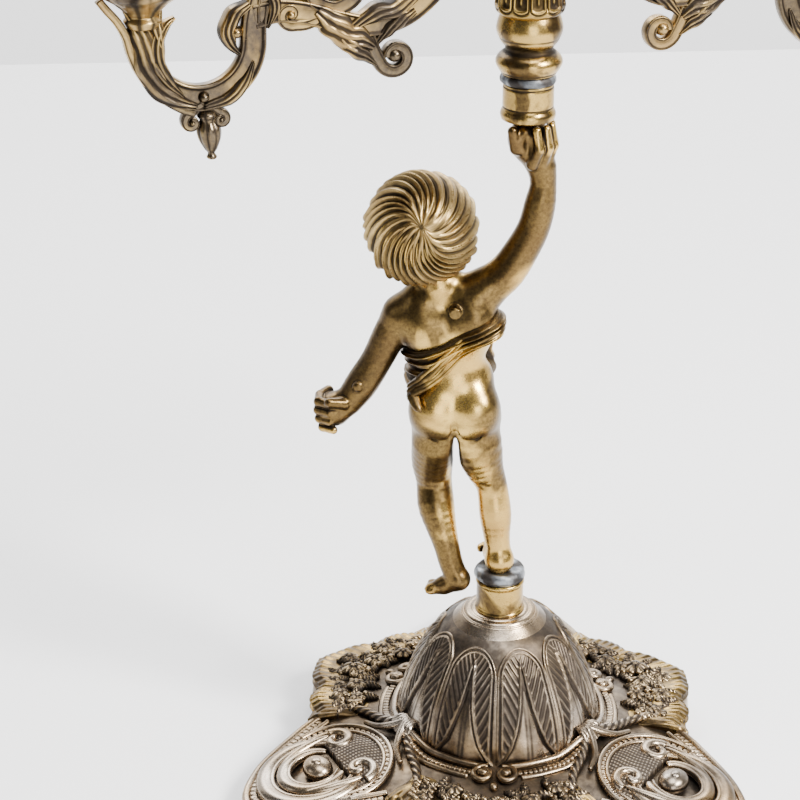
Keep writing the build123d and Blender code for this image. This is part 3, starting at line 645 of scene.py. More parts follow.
def petalFlower(centre, size, petals, tilt=0.0):
    # a rosette: petals as lobes of radius, cupped and creased, with a round eye
    rows, cols = 12, petals * 8
    a = np.linspace(0.08, 1, rows)[:, None]
    b = np.linspace(0, 2 * pi, cols, endpoint=False)[None] + tilt
    lobe = np.abs(np.cos(0.5 * petals * b)) ** 0.6
    radius = size * a * (0.62 + 0.38 * lobe)
    rise = size * (0.30 + 0.28 * np.sin(pi * a ** 0.8) * (0.4 + 0.6 * lobe) + 0.30 * bump(a, 0, 0.28))
    edge = np.concatenate([radius, radius[-1:] * 0.98, radius[-1:] * 0.5])
    height = np.concatenate([rise * np.ones((1, cols)), rise[-1:] * np.zeros((1, cols)) - 0.3,
                             np.full((1, cols), -0.6)])
    angle = np.broadcast_to(b, edge.shape)
    dark = np.concatenate([np.clip(0.75 * (1 - lobe) * a ** 0.5 + 0.7 * bump(a, 0.32, 0.10), 0, 1)
                           * np.ones((1, cols)), np.full((2, cols), 0.9)])
    shape = loft(np.stack([edge * np.cos(angle), edge * np.sin(angle), height], -1), dark)
    return {**shape, "points": shape["points"] + centre}


def leafShape(root, direction, size, width, curl):
    # a lobed leaf on the skirt: width falls to a tip with notched sides, a midrib, slanting veins and a curled
    # end
    rows, cols, lobes = 26, 13, 5
    t = np.linspace(0, 1, rows)[:, None]
    s = np.linspace(-1, 1, cols)[None]
    outline = (np.sin(pi * np.clip(0.08 + 0.92 * t, 0, 1)) ** 0.7
               * (1 - 0.28 * np.abs(np.sin(pi * lobes * t)) ** 2))
    along = size * t
    across = 0.5 * width * outline * s
    veins = np.cos(2 * pi * (lobes * t - 0.8 * np.abs(s)))
    rise = (size * curl * np.sin(pi * t * 0.9) * (1 - 0.5 * s ** 2) + 0.22 * veins * (1 - s ** 2)
            + 0.3 * bump(s, 0, 0.16))
    a = np.radians(direction)
    x, y = root[0] + along * np.cos(a) - across * np.sin(a), root[1] + along * np.sin(a) + across * np.cos(a)
    dark = np.clip(0.35 - 0.35 * veins + 0.4 * np.abs(s) ** 3, 0, 1)
    return slab(np.stack([x, y, root[2] + rise + 0.5], -1),
                np.stack([x, y, np.full_like(rise, root[2] - 0.8)], -1), dark)


def floralParts():
    # a scalloped, creased edge and a bed of flowers, fruits and leaves on the lobe at bearing 90
    rows, cols = 34, 240
    swing = np.linspace(-34, 34, cols)[None]
    t = np.linspace(0, 1, rows)[:, None]
    reach = planReach(np.radians(90 + swing))
    radius = (reach - 17) * (1 - t) + (reach + 0.4 * np.cos(2 * pi * swing / 11.3)) * t
    crease = (0.55 * np.abs(np.cos(pi * swing / 11.3)) ** 0.5 * t ** 1.5
              + 0.22 * np.cos(2 * pi * swing / 2.3) * smoothStep(0.45, 0.8, t))
    top = onApron(radius, 90 + swing, 0.4 + 2.4 * np.sin(pi * 0.55 * t) * smoothStep(0, 0.4, t) + crease
                  - 1.6 * smoothStep(0.8, 1, t))
    bottom = onApron(radius, 90 + swing, -0.9)
    edge = slab(top, bottom,
                np.broadcast_to(0.30 * (1 - np.abs(np.cos(pi * swing / 11.3)) ** 0.4) + 0.2 * (1 - t),
                                (rows, cols)))
    bed = []
    spots = [(55, -5, 4.0, 5), (59, -14, 3.6, 6), (58, 4, 4.4, 5), (52, 14, 3.6, 5), (65, -3, 3.4, 6),
             (56, 21, 3.2, 5), (54, -24, 3.2, 5),
             (62, 12, 3.2, 5), (49.5, -15, 3.2, 6), (62, -19, 2.8, 5), (49, 24, 3.0, 5), (53.5, 7, 2.8, 5),
             (59, 18, 2.6, 5)]
    for k, (r, b, size, petals) in enumerate(spots):
        bed.append(petalFlower(onApron(r, 90.0 + b, 1.0 + 0.25 * (k % 3)), size, petals, 0.7 * k))
    for k in range(64):
        b = 90 + 58 * (rng.random() - 0.5)
        inner = 47.5 + 4.5 * bump(b, 90, 13)
        r = inner + (planReach(np.radians(b)) - 9.5 - inner) * rng.random()
        bed.append(leafShape(onApron(r, b, 0.2 + 0.8 * rng.random()), 360 * rng.random(),
                             4.4 + 3.4 * rng.random(), 3.4, 0.24))
    seeds = []
    for k in range(110):
        b, size = 90 + 60 * (rng.random() - 0.5), 0.7 + 0.75 * rng.random()
        inner = 46.5 + 5.0 * bump(b, 90, 13)
        r = inner + (planReach(np.radians(b)) - 6.5 - inner) * rng.random()
        seeds.append(np.column_stack([np.eye(3) * size, onApron(r, b, 1.2 + 1.0 * rng.random())]))
    bed.append(copies(ball((0, 0, 0), (1, 1, 1), 5, 9), seeds))
    return [edge], bed


def threeTimes(parts):
    # the same parts on all three sides of the base
    return [turnedBy(part, turn) for part in parts for turn in (0, -120, -240)]


print("base")
topRing = [(r, domeTopHeight - drop) for r, drop in (
    (2.2, 2.5), (13.0, 3.2), (13.2, 1.9), (12.6, 1.3), (11.9, 1.4), (11.5, 0.7), (10.6, 0.35), (9.8, 0.6),
    (9.3, 0.1),
    (8.6, 0.0), (2.2, 0.0), (2.2, 2.5))]
lobeEdge, lobeBed = floralParts()
baseShapes = {
    "baseDome": ([domeGrid()], baseMetal),
    "baseSkirt": ([apronGrid()], baseMetal),
    "scrollBands": (threeTimes(bandParts()), baseMetal),
    "ropeSwags": (threeTimes(ropeParts()), baseMetal),
    **{"cartouche" + part.capitalize(): ([turnedBy(shell, turn) for shell in shells for turn in (30, 150, 270)],
                                         baseMetal)
       for part, shells in cartoucheParts().items()},
    "floralEdges": (threeTimes(lobeEdge), giltMetal),
    "flowerBeds": (threeTimes(lobeBed), flowerMetal),
    "domeTopRings": ([turnedPiece(0, 0, topRing, 60, 144, wrap=True)], baseMetal),
}
for name, (shapes, metal) in baseShapes.items():
    makePiece(name, shapes, metal, "stand", ["base_casting"])

footBase = heights("pedestal_ring")[1]
stemX = -6.0
studHole, rodHole, cupHole = 2.15, 3.15, 2.56
sleeveLow, sleeveHigh = heights("pedestal_sleeve")


def unevenRing(angle, share, height):
    # a hand-run solder ring: its radius wanders a little round the ring
    wander = 0.16 * np.sin(3 * angle + 1) + 0.10 * np.sin(7 * angle + 2.5 * share) + 0.05 * np.sin(17 * angle)
    return wander, 0.25 + 0.25 * np.sin(5 * angle + 6 * share)


def ringOutline(bore, radius, low, high):
    # a ring with a full round outside
    turn = np.linspace(-pi / 2, pi / 2, 16)
    half = (high - low) / 2
    bulge = [(radius - half * 0.8 + half * 0.8 * np.cos(a), (low + high) / 2 + half * np.sin(a)) for a in turn]
    return [(bore, low)] + bulge + [(bore, high), (bore, low)]


print("stem")
sleeveOutline = [(studHole, sleeveLow), (8.3, sleeveLow), (8.35, sleeveLow + 0.7), (7.85, sleeveLow + 1.0),
                 (7.8, sleeveHigh - 1.6), (7.95, sleeveHigh - 1.2),
                 (8.15, sleeveHigh - 0.9), (8.1, sleeveHigh - 0.4), (7.8, sleeveHigh), (studHole, sleeveHigh),
                 (studHole, sleeveLow)]
makePiece("pedestalSleeve", [turnedPiece(0, 0, sleeveOutline, 90, 96, wrap=True)], stemMetal, "stand",
          ["pedestal_sleeve"])
makePiece("pedestalRing",
          [turnedPiece(0, 0, ringOutline(studHole, 8.5, sleeveHigh, footBase), 60, 96, unevenRing, wrap=True)],
          solderMetal, "stand", ["pedestal_ring"])

handTop = heights("hand_sleeve")[0]
neckLow, neckHigh = heights("neck_ring")
knopHigh = heights("knop")[1]
balusterHigh = heights("baluster")[1]


def handSleeveRelief(angle, share, height):
    # two engraved lines near the flange, and a dark joint under the solder ring
    line = bump(height, handTop + 4.3, 0.22) + bump(height, neckLow - 0.9, 0.25)
    return -0.18 * line, 0.75 * line + 0.25 * bump(height, neckLow, 1.0)


def knopRelief(angle, share, height):
    # fine turned lines either side of the two bulges
    line = (bump(height, knopHigh - 7.3, 0.20) + bump(height, neckHigh + 7.1, 0.20)
            + bump(height, neckHigh + 0.8, 0.22))
    waist = bump(height, neckHigh + 7.7, 1.3)
    return -0.16 * line, np.clip(0.8 * line + 0.55 * waist, 0, 1)


def tongueRelief(angle, share, height):
    # upright tongues with round lower ends and deep grooves between, then a beaded collar at the top
    v = (height - knopHigh) / (balusterHigh - knopHigh)
    u = (angle * 12 / (2 * pi)) % 1 - 0.5
    foot = 0.05 + 0.10 * (1 - np.sqrt(np.clip(1 - (2 * u) ** 2, 0, 1)))
    inside = smoothStep(-0.012, 0.02, v - foot) * (1 - smoothStep(0.78, 0.84, v))
    border = np.minimum(0.46 - np.abs(u), 1.6 * (v - foot))
    rim = bump(border, 0.085, 0.045)
    tongue = np.clip(rim + 0.75 * bump(u, 0, 0.075) * smoothStep(0.16, 0.24, v), 0, 1)
    beads = (np.sqrt(np.clip(1 - (2.1 * np.abs((angle * 20 / (2 * pi)) % 1 - 0.5)) ** 2, 0, 1))
             * bump(v, 0.92, 0.05))
    rise = inside * (1.15 * tongue - 0.95) + 0.5 * beads
    return rise, np.clip(inside * (0.95 - 1.0 * tongue) + 0.22 * (1 - inside) + 0.3 * bump(v, 0.84, 0.03), 0, 1)


handOutline = [(rodHole, handTop), (7.4, handTop), (8.2, handTop + 0.5), (8.5, handTop + 1.5),
               (8.5, handTop + 2.2), (8.25, handTop + 3.0), (7.85, handTop + 3.5),
               (7.8, neckLow), (rodHole, neckLow), (rodHole, handTop)]
makePiece("handSleeve", [turnedPiece(stemX, 0, handOutline, 120, 120, handSleeveRelief, wrap=True)], stemMetal,
          "stand", ["hand_sleeve"])
makePiece("neckRing",
          [turnedPiece(stemX, 0, ringOutline(rodHole, 8.55, neckLow, neckHigh), 60, 96, unevenRing, wrap=True)],
          solderMetal, "stand", ["neck_ring"])
rise = knopHigh - neckHigh
knopLine = curveThrough([(8.2, 0), (9.0, 0.06 * rise), (10.15, 0.19 * rise), (9.5, 0.30 * rise),
                         (7.4, 0.40 * rise), (7.4, 0.45 * rise), (9.0, 0.57 * rise),
                         (10.05, 0.73 * rise), (9.7, 0.88 * rise), (8.9, rise)], 90) + (0, neckHigh)
knopOutline = np.vstack([[(rodHole, neckHigh)], knopLine, [(rodHole, knopHigh), (rodHole, neckHigh)]])
makePiece("knopTurning", [turnedPiece(stemX, 0, knopOutline, 130, 120, knopRelief, wrap=True)], stemMetal,
          "stand", ["knop"])
rise = balusterHigh - knopHigh
balusterLine = curveThrough([(9.3, 0), (10.3, 0.05 * rise), (10.5, 0.15 * rise), (9.9, 0.40 * rise),
                             (8.1, 0.64 * rise), (7.3, 0.80 * rise), (8.1, 0.88 * rise),
                             (8.4, 0.95 * rise), (8.1, rise)], 90) + (0, knopHigh)
balusterOutline = np.vstack([[(rodHole, knopHigh)], balusterLine,
                             [(rodHole, balusterHigh), (rodHole, knopHigh)]])
makePiece("leafBaluster", [turnedPiece(stemX, 0, balusterOutline, 150, 336, tongueRelief, wrap=True)],
          stemMetal, "stand", ["baluster"])


# Every limb is a tapering rod between balls, every full part an ellipsoid, melted together with a rounded join.
# Places are measured from the sole the figure stands on: x towards its left, y towards its back, z up.
# The whorl is the direction the hair swirls from; each painted-light spot is a middle, a reach and an amount
# taken off the recess there: a positive amount clears tarnish and soot as a painted highlight, a negative one
# adds dark as painted shade; a joint is a point and the direction out of the body.
figure = {
    "headCentre": (26.4, -1.5, 119.0), "headRadii": (17.2, 17.6, 17.6), "whorl": (-0.055, 0.934, 0.352),
    "locks": 28, "lockDepth": 2.2, "swirl": 1.25,
    # painted light on the figure: highlights on the seat, a shoulder blade, the raised upper arm and both legs;
    # painted shade on the lowered arm
    "paintedLightSpots": [((22.0, 11, 59), 8.5, 0.9), ((8.8, 11, 59), 8.0, 0.9), ((12.0, 9, 90), 7.0, 0.7),
               ((43.0, 1, 74), 13.0, -0.30), ((0.5, 4, 107), 9.0, 0.6),
               ((3.0, 4, 14), 8.0, 0.4), ((22.0, 3, 38), 7.0, 0.4)],
    "raisedJoint": ((0.0, 0, 104.0), (-0.595, 0, 0.803)), "lowerJoint": ((37.0, 0, 83.0), (0.498, 0, -0.867)),
}


def meltIn(field, distance, width):
    # polynomial smooth union
    h = np.clip(0.5 + 0.5 * (field - distance) / width, 0, 1)
    return field * (1 - h) + distance * h - width * h * (1 - h)


def cutOut(field, distance, width):
    # smooth subtraction
    return -meltIn(-field, distance, width)


def rodField(p, a, b, ra, rb):
    # distance to a tapering rod with round ends
    a, b = np.asarray(a, float), np.asarray(b, float)
    line = b - a
    t = np.clip((p - a) @ line / (line @ line), 0, 1)
    return np.linalg.norm(p - a - t[:, None] * line, axis=1) - (ra + (rb - ra) * t)


def eggField(p, centre, radii):
    # distance to an ellipsoid, close to true near its surface
    q = p - np.asarray(centre, float)
    radii = np.asarray(radii, float)
    k0 = np.linalg.norm(q / radii, axis=1)
    k1 = np.linalg.norm(q / radii ** 2, axis=1) + 1e-9
    return k0 * (k0 - 1) / k1


def chainField(p, stations):
    # a limb along a smooth line of stations, each an x, y, z and radius
    s = curveThrough(stations, 3 * len(stations) - 2)
    field = np.full(len(p), 1e3)
    for a, b in zip(s, s[1:]):
        field = np.minimum(field, rodField(p, a[:3], b[:3], a[3], b[3]))
    return field


legs = {
    "standing": [(8.2, 0.5, 45, 8.3), (5.8, 0.2, 37, 6.3), (3.2, 0, 30, 5.1), (1.9, 1.2, 20.5, 5.3),
                 (1.4, 1.2, 13, 4.5), (0.8, 1.5, 8.0, 4.1), (0.3, 2.2, 3.8, 4.6)],
    "free": [(21.6, 0.5, 46, 8.0), (22.8, -2.6, 37, 6.9), (22.4, -4.0, 29.5, 5.9), (21.6, -1.2, 22, 6.1),
             (20.0, 1.0, 16, 5.2), (18.0, 3.0, 9.4, 4.3),
             (16.3, 4.2, 3.0, 4.0), (14.2, 5.0, -2.2, 3.9)],
}


# chest, belly, hips, shoulder blades and seat: middle, radii and how softly each melts in
trunk = [
    ((16.4, -2.6, 66), (13.4, 11.3, 13), 5), ((15.2, -0.6, 54), (14.6, 10.4, 11), 5),
    ((9.5, 3.5, 91), (7.0, 6.5, 8.5), 4), ((26.0, 3.5, 89), (7.5, 6.0, 8.0), 4),
    ((22.0, 3.6, 58.5), (8.2, 8.0, 9.4), 3.4), ((8.6, 3.6, 59.0), (7.8, 7.8, 9.2), 3.4),
]


def trunkField(p):
    # the trunk's ellipsoids melted together
    f = eggField(p, (18.0, -0.3, 85), (14.4, 9.8, 13.5))
    for middle, radii, soft in trunk:
        f = meltIn(f, eggField(p, middle, radii), soft)
    return f


def bodyField(p):
    # torso, hips, legs, neck and feet
    f = trunkField(p)
    f = meltIn(f, chainField(p, [(21, -0.5, 101, 7.6), (23.4, -1.0, 106, 6.9), (24.5, -1, 111, 6.9)]), 4)
    f = meltIn(f, rodField(p, (12, 0.5, 97), (7.0, 0, 99), 7.0, 6.4), 3)
    f = meltIn(f, rodField(p, (27, 0.5, 95), (32.0, 0, 90.5), 6.5, 6.0), 3)
    leg = np.minimum(chainField(p, legs["standing"]), chainField(p, legs["free"]))
    leg = meltIn(leg,
                 chainField(p,
                            [(18.0, -1.6, 30.2, 0.9), (20.0, 0.6, 30.4, 0.9), (22.6, 1.35, 30.7, 0.9),
                             (25.2, 0.4, 30.9, 0.9), (27.0, -1.6, 31.0, 0.9)]), 1.1)
    leg = cutOut(leg, rodField(p, (-1.5, 5.9, 31.8), (8.0, 5.7, 32.4), 0.22, 0.22), 1.2)
    f = meltIn(f, leg, 3.0)
    f = cutOut(f, eggField(p, (15.0, 1.0, 44.6), (1.0, 13.0, 7.0)), 2.2)
    f = cutOut(f, rodField(p, (15.5, 11.2, 60.0), (15.1, 9.3, 49.0), 0.7, 1.4), 1.2)
    f = cutOut(f,
               chainField(p,
                          [(25.0, 6.6, 53.4, 0.2), (21.2, 9.0, 50.0, 0.5), (17.6, 9.8, 50.6, 0.5),
                           (15.2, 9.6, 53.2, 0.4)]), 1.1)
    f = cutOut(f,
               chainField(p,
                          [(4.4, 6.6, 54.0, 0.2), (8.8, 9.0, 50.4, 0.5), (12.6, 9.8, 50.8, 0.5),
                           (15.0, 9.6, 53.4, 0.4)]), 1.1)
    f = cutOut(f, rodField(p, (16.5, 12.2, 98), (15.4, 11.2, 76), 0.4, 0.4), 3.4)
    heel = meltIn(rodField(p, (0.3, 2.4, 3.7), (2.2, -4.0, 3.1), 4.7, 3.6),
                  rodField(p, (2.2, -4, 3.1), (3.6, -9.0, 2.2), 3.4, 2.4), 1.5)
    for x, y in ((0.6, -11.4), (2.6, -11.8), (4.4, -11.4), (5.9, -10.4), (6.9, -9.0)):
        heel = meltIn(heel, eggField(p, (x, y, 1.7), (1.25, 2.0, 1.35)), 0.5)
    f = meltIn(f, heel, 1.2)
    sole = meltIn(rodField(p, (13.6, 5.4, -2.6), (18.6, 4.6, -5.4), 3.9, 2.9),
                  rodField(p, (18.6, 4.6, -5.4), (22.6, 3.9, -7.2), 2.9, 2.0), 1.5)
    for k in range(5):
        sole = meltIn(sole,
                      eggField(p, (23.2 - 0.3 * abs(k - 1), 5.6 - 1.35 * k, -7.5 + 0.2 * k), (1.9, 0.85, 0.95)),
                      0.9)
    f = meltIn(f, sole, 1.2)
    button = np.maximum(np.linalg.norm((p - (15.2, 0, 95.2))[:, [0, 2]], axis=1) - 1.9, np.abs(p[:, 1] - 9.0)
                        - 2.2)
    f = meltIn(f, button, 0.5)
    return f


def raisedField(p):
    # upper arm, bent elbow, wrist, and the hand closed under the flange
    f = chainField(p,
                   [(7.0, 0, 99, 6.6), (0.0, 0, 105, 6.0), (-4.5, 0, 112, 5.5), (-8.4, 0, 120, 5.1),
                    (-10.3, 0, 128, 4.9), (-11.2, 0, 135, 4.1), (-10.6, 0, 140, 4.6)])
    f = meltIn(f, eggField(p, (-8.0, 0.2, 147.5), (6.6, 6.3, 7.0)), 3)
    f = meltIn(f, eggField(p, (-4.2, 2.0, 150.0), (4.2, 4.6, 5.2)), 2.2)
    f = meltIn(f, rodField(p, (-2.8, 4.6, 147.5), (-1.6, 5.6, 153.2), 2.1, 1.6), 0.8)
    for bearing in (196, 168, 140, 112):
        a = np.radians(bearing)
        out, across = 7.2 * np.cos(a) - 6.6, 7.0 * np.sin(a)
        finger = rodField(p, (out + 1.6, 0.75 * across, 142.5), (out - 0.2, across, 147.8), 1.9, 1.75)
        finger = meltIn(finger,
                        rodField(p, (out - 0.2, across, 147.8), (out + 0.4, 0.96 * across, 153.6), 1.75, 1.35),
                        0.5)
        f = meltIn(f, finger, 0.6)
    f = cutOut(f, eggField(p, (-6.4, 8.4, 148.8), (1.9, 3.0, 4.2)), 1.2)
    f = meltIn(f, eggField(p, (-9.4, 4.6, 146.3), (1.7, 1.6, 1.7)), 0.5)
    return np.maximum(f, p[:, 2] - (handTop - footBase) + 0.02)


def loweredField(p):
    # arm held down and out, with the hand closed
    f = chainField(p,
                   [(32.5, 0, 90, 6.3), (37, 0, 82, 5.5), (40.8, 0, 74, 5.1), (45.6, 0, 65.8, 5.3),
                    (49.8, 0.2, 59.6, 4.6)])
    f = meltIn(f, eggField(p, (54.6, 0.2, 56.6), (5.6, 6.2, 5.6)), 2.5)
    for k in range(4):
        z, x = 60.6 - 3.0 * k, 57.0 + 0.9 * np.sin(0.9 * k) - 0.55 * k
        finger = rodField(p, (x, -5.0, z), (x + 2.3, -1.6, z - 0.2), 1.75, 1.7)
        finger = meltIn(finger, rodField(p, (x + 2.3, -1.6, z - 0.2), (x + 2.4, 2.8, z - 0.4), 1.7, 1.6), 0.4)
        finger = meltIn(finger, rodField(p, (x + 2.4, 2.8, z - 0.4), (x - 1.2, 5.4, z - 0.3), 1.6, 1.35), 0.4)
        f = meltIn(f, finger, 0.45)
    f = meltIn(f, rodField(p, (51.0, 4.4, 60.4), (55.6, 6.2, 61.4), 1.9, 1.6), 0.8)
    f = meltIn(f, eggField(p, (46.5, 5.2, 66.8), (1.7, 1.0, 1.7)), 0.5)
    return f


faceTurn = np.radians(22)
faceForward = np.array([0.0, -np.cos(faceTurn), np.sin(faceTurn)])
faceUp = np.array([0.0, np.sin(faceTurn), np.cos(faceTurn)])
faceSide = np.array([1.0, 0, 0])


def headField(p):
    # a plain calm child's head: skull, cheeks, chin, brow, lidded eyes, short nose, closed mouth and ears
    q = p - np.asarray(figure["headCentre"])
    h = np.stack([q @ faceSide, q @ faceUp, q @ faceForward], 1)
    sym = np.column_stack([np.abs(h[:, 0]), h[:, 1], h[:, 2]])
    f = eggField(h, (0, 1.0, -1.5), (15.4, 15.2, 15.0))
    f = meltIn(f, eggField(h, (0, -4.2, 3.6), (12.2, 12.6, 11.8)), 4)
    f = meltIn(f, eggField(sym, (6.4, -6.6, 9.2), (5.2, 5.0, 4.6)), 3)
    f = meltIn(f, eggField(h, (0, -13.6, 10.2), (3.6, 3.0, 3.2)), 3)
    f = meltIn(f, eggField(h, (0, 4.6, 8.6), (10.6, 7.0, 6.4)), 3)
    f = cutOut(f, eggField(sym, (5.4, -1.2, 16.6), (3.2, 2.1, 2.9)), 2.0)
    f = meltIn(f, eggField(sym, (5.3, -1.3, 12.2), (2.7, 1.9, 2.3)), 0.5)
    f = meltIn(f, rodField(sym, (2.9, -0.4, 14.1), (7.8, -0.9, 12.6), 0.55, 0.5), 0.7)
    f = meltIn(f, rodField(sym, (3.2, -2.7, 13.8), (7.4, -2.6, 12.6), 0.40, 0.35), 0.7)
    f = meltIn(f, rodField(h, (0, 0.2, 14.2), (0, -4.3, 16.9), 1.1, 1.55), 1.5)
    f = meltIn(f, eggField(sym, (1.55, -4.9, 15.6), (1.2, 1.0, 1.3)), 0.7)
    f = meltIn(f, rodField(sym, (0.3, -7.9, 15.0), (2.9, -8.5, 13.6), 0.85, 0.45), 0.7)
    f = meltIn(f, rodField(sym, (0.0, -9.8, 14.7), (2.4, -9.4, 13.7), 1.05, 0.5), 0.7)
    f = cutOut(f, rodField(sym, (0.0, -8.75, 15.7), (3.2, -8.9, 14.2), 0.18, 0.14), 0.5)
    ear = cutOut(eggField(sym, (13.4, -2.6, -0.6), (2.6, 4.6, 3.2)),
                 eggField(sym, (15.6, -2.4, 0.8), (1.6, 3.0, 1.9)), 0.8)
    f = meltIn(f, ear, 1.0)
    return meltIn(f, rodField(p, (24.6, -0.8, 106), (24.2, -1, 112), 6.9, 6.9), 2.5)


def sculpted(fieldOf, low, high, cell, skin):
    # skin of a field: the middle of each crossed cell, joined to its neighbours, relaxed and pulled onto the
    # true surface
    low, high = np.asarray(low, float), np.asarray(high, float)
    coarse = 4
    shape = (np.ceil((high - low) / (cell * coarse)).astype(int)) * coarse + 1
    axes = [low[k] + cell * np.arange(shape[k]) for k in range(3)]
    rough = [a[::coarse] for a in axes]
    grid = np.stack(np.meshgrid(*rough, indexing="ij"), -1).reshape(-1, 3)
    value = fieldOf(grid).reshape([len(a) for a in rough])
    for k in range(3):
        value = np.repeat(value, coarse, k)
    value = value[:shape[0], :shape[1], :shape[2]]
    pad = np.abs(value) < cell * coarse * 2.6
    near = pad.copy()
    for k in range(3):
        near |= np.roll(pad, coarse - 1, k)
    where = np.argwhere(near)
    field = np.where(value > 0, 5.0, -5.0)
    field[near] = fieldOf(low + cell * where)
    total = np.zeros((*[s - 1 for s in shape], 3))
    count = np.zeros([s - 1 for s in shape])
    crossings = []
    for k in range(3):
        i = [slice(None)] * 3
        j = [slice(None)] * 3
        i[k], j[k] = slice(0, -1), slice(1, None)
        a, b = field[tuple(i)], field[tuple(j)]
        cross = (a < 0) != (b < 0)
        at = np.argwhere(cross)
        t = a[cross] / (a[cross] - b[cross])
        point = at.astype(float)
        point[:, k] += t
        u, v = [m for m in range(3) if m != k]
        keep = (at[:, u] > 0) & (at[:, v] > 0) & (at[:, u] < shape[u] - 1) & (at[:, v] < shape[v] - 1)
        at, point, sign = at[keep], point[keep], (a[cross] < 0)[keep]
        corners = []
        for du, dv in ((1, 1), (0, 1), (0, 0), (1, 0)):
            cellAt = at.copy()
            cellAt[:, u] -= du
            cellAt[:, v] -= dv
            np.add.at(total, tuple(cellAt.T), point)
            np.add.at(count, tuple(cellAt.T), 1)
            corners.append(cellAt)
        crossings.append((corners, sign, k))
    used = count > 0
    index = np.full(count.shape, -1)
    index[used] = np.arange(used.sum())
    points = low + cell * (total[used] / count[used][:, None])
    quads = []
    for corners, sign, k in crossings:
        face = np.stack([index[tuple(c.T)] for c in corners], 1)
        flip = sign if k != 1 else ~sign
        face[~flip] = face[~flip][:, ::-1]
        quads.append(face)
    quads = np.vstack(quads)
    n = len(points)
    edges = np.vstack([quads[:, [0, 1]], quads[:, [1, 2]], quads[:, [2, 3]], quads[:, [3, 0]]])
    for turn in range(4):
        away = np.zeros((n, 3))
        number = np.zeros(n)
        for a, b in ((0, 1), (1, 0)):
            for axis in range(3):
                away[:, axis] += np.bincount(edges[:, a], points[edges[:, b], axis], n)
            number += np.bincount(edges[:, a], minlength=n)
        if turn < 3:
            points = 0.5 * points + 0.5 * away / number[:, None]
        for step in range(2 if turn < 3 else 4):
            f, slope = fieldAndSlope(fieldOf, points)
            points = points - np.clip(f, -0.4, 0.4)[:, None] * slope
    hollow = sinkAt(skin, points)
    return outward({"points": points, "quads": quads, "tris": np.zeros((0, 3), int), "recess": hollow})


def fieldAndSlope(fieldOf, points):
    # the field at the points, and its gradient over its squared length
    e = 0.04
    f = fieldOf(points)
    slope = np.stack([(fieldOf(points + e * axis) - f) / e for axis in np.eye(3)], 1)
    return f, slope / (np.einsum("ij,ij->i", slope, slope)[:, None] + 1e-6)


def sinkAt(fieldOf, points):
    # how much of a hollow each point lies in: other surface close above it makes the field there less than the
    # lift; then lowered at the listed spots to paint highlights and raised to paint shade
    _, slope = fieldAndSlope(fieldOf, points)
    normal = slope / (np.linalg.norm(slope, axis=1)[:, None] + 1e-9)
    scale = np.linalg.norm(slope, axis=1)
    near, far = fieldOf(points + 0.9 * normal) * scale, fieldOf(points + 2.6 * normal) * scale
    sunk = np.clip(1.8 * (0.9 - near) + 0.6 * (2.6 - far) - 0.30, 0, 1)
    # painted light: a positive amount lowers the recess for a painted highlight, a negative one raises it for
    # painted shade
    for place, reach, most in figure["paintedLightSpots"]:
        sunk = sunk - most * np.exp(-((points - place) ** 2).sum(axis=1) / reach ** 2)
    return sunk


def jointSide(p, joint, sign):
    # distance past the plane where an arm was joined to its shoulder
    place, normal = np.asarray(joint[0], float), np.asarray(joint[1], float)
    return sign * ((p - place) @ (normal / np.linalg.norm(normal)))


def lifted(part):
    # from the figure's own measure, whose zero is the sole, to heights above the table
    return {**part, "points": part["points"] + (0, 0, footBase)}


def wholeField(p):
    # body and both arms melted together
    return meltIn(meltIn(bodyField(p), raisedField(p), 2.5), loweredField(p), 2.5)


castingOverlap = 1.2  # how far each casting runs past its joint


def bodyShell(p):
    # the body to a little past the two shoulder joints, so that the castings close flush
    armpit = np.minimum(jointSide(p, figure["lowerJoint"], 1), p[:, 0] - 32.5) - castingOverlap
    return np.maximum(np.maximum(wholeField(p), jointSide(p, figure["raisedJoint"], 1) - castingOverlap),
                      armpit)


def raisedShell(p):
    # everything beyond the raised shoulder's joint
    return np.maximum(wholeField(p), jointSide(p, figure["raisedJoint"], -1) - castingOverlap)


def loweredShell(p):
    # everything beyond the lowered shoulder's joint
    beyond = jointSide(p, figure["lowerJoint"], -1) - castingOverlap
    return np.maximum(np.maximum(wholeField(p), beyond), 31.3 - p[:, 0])


print("figure")
cell = 0.5
castings = {
    "figureTorsoAndLegs": (bodyShell, (-9, -16, -11), (46, 17, 116), cell, wholeField, "figure_body"),
    "raisedArmCasting": (raisedShell, (-22, -12, 93), (12, 14, 158), 0.8 * cell, wholeField,
                         "figure_raised_arm"),
    "loweredArmCasting": (loweredShell, (28, -12, 46), (66, 12, 94), 0.8 * cell, wholeField,
                          "figure_lowered_arm"),
    "headCasting": (headField, (7, -22, 99), (46, 18, 139), 0.8 * cell, headField, "figure_body"),
}
for name, (*shape, node) in castings.items():
    makePiece(name, [lifted(sculpted(*shape))], figureMetal, "stand", [node])


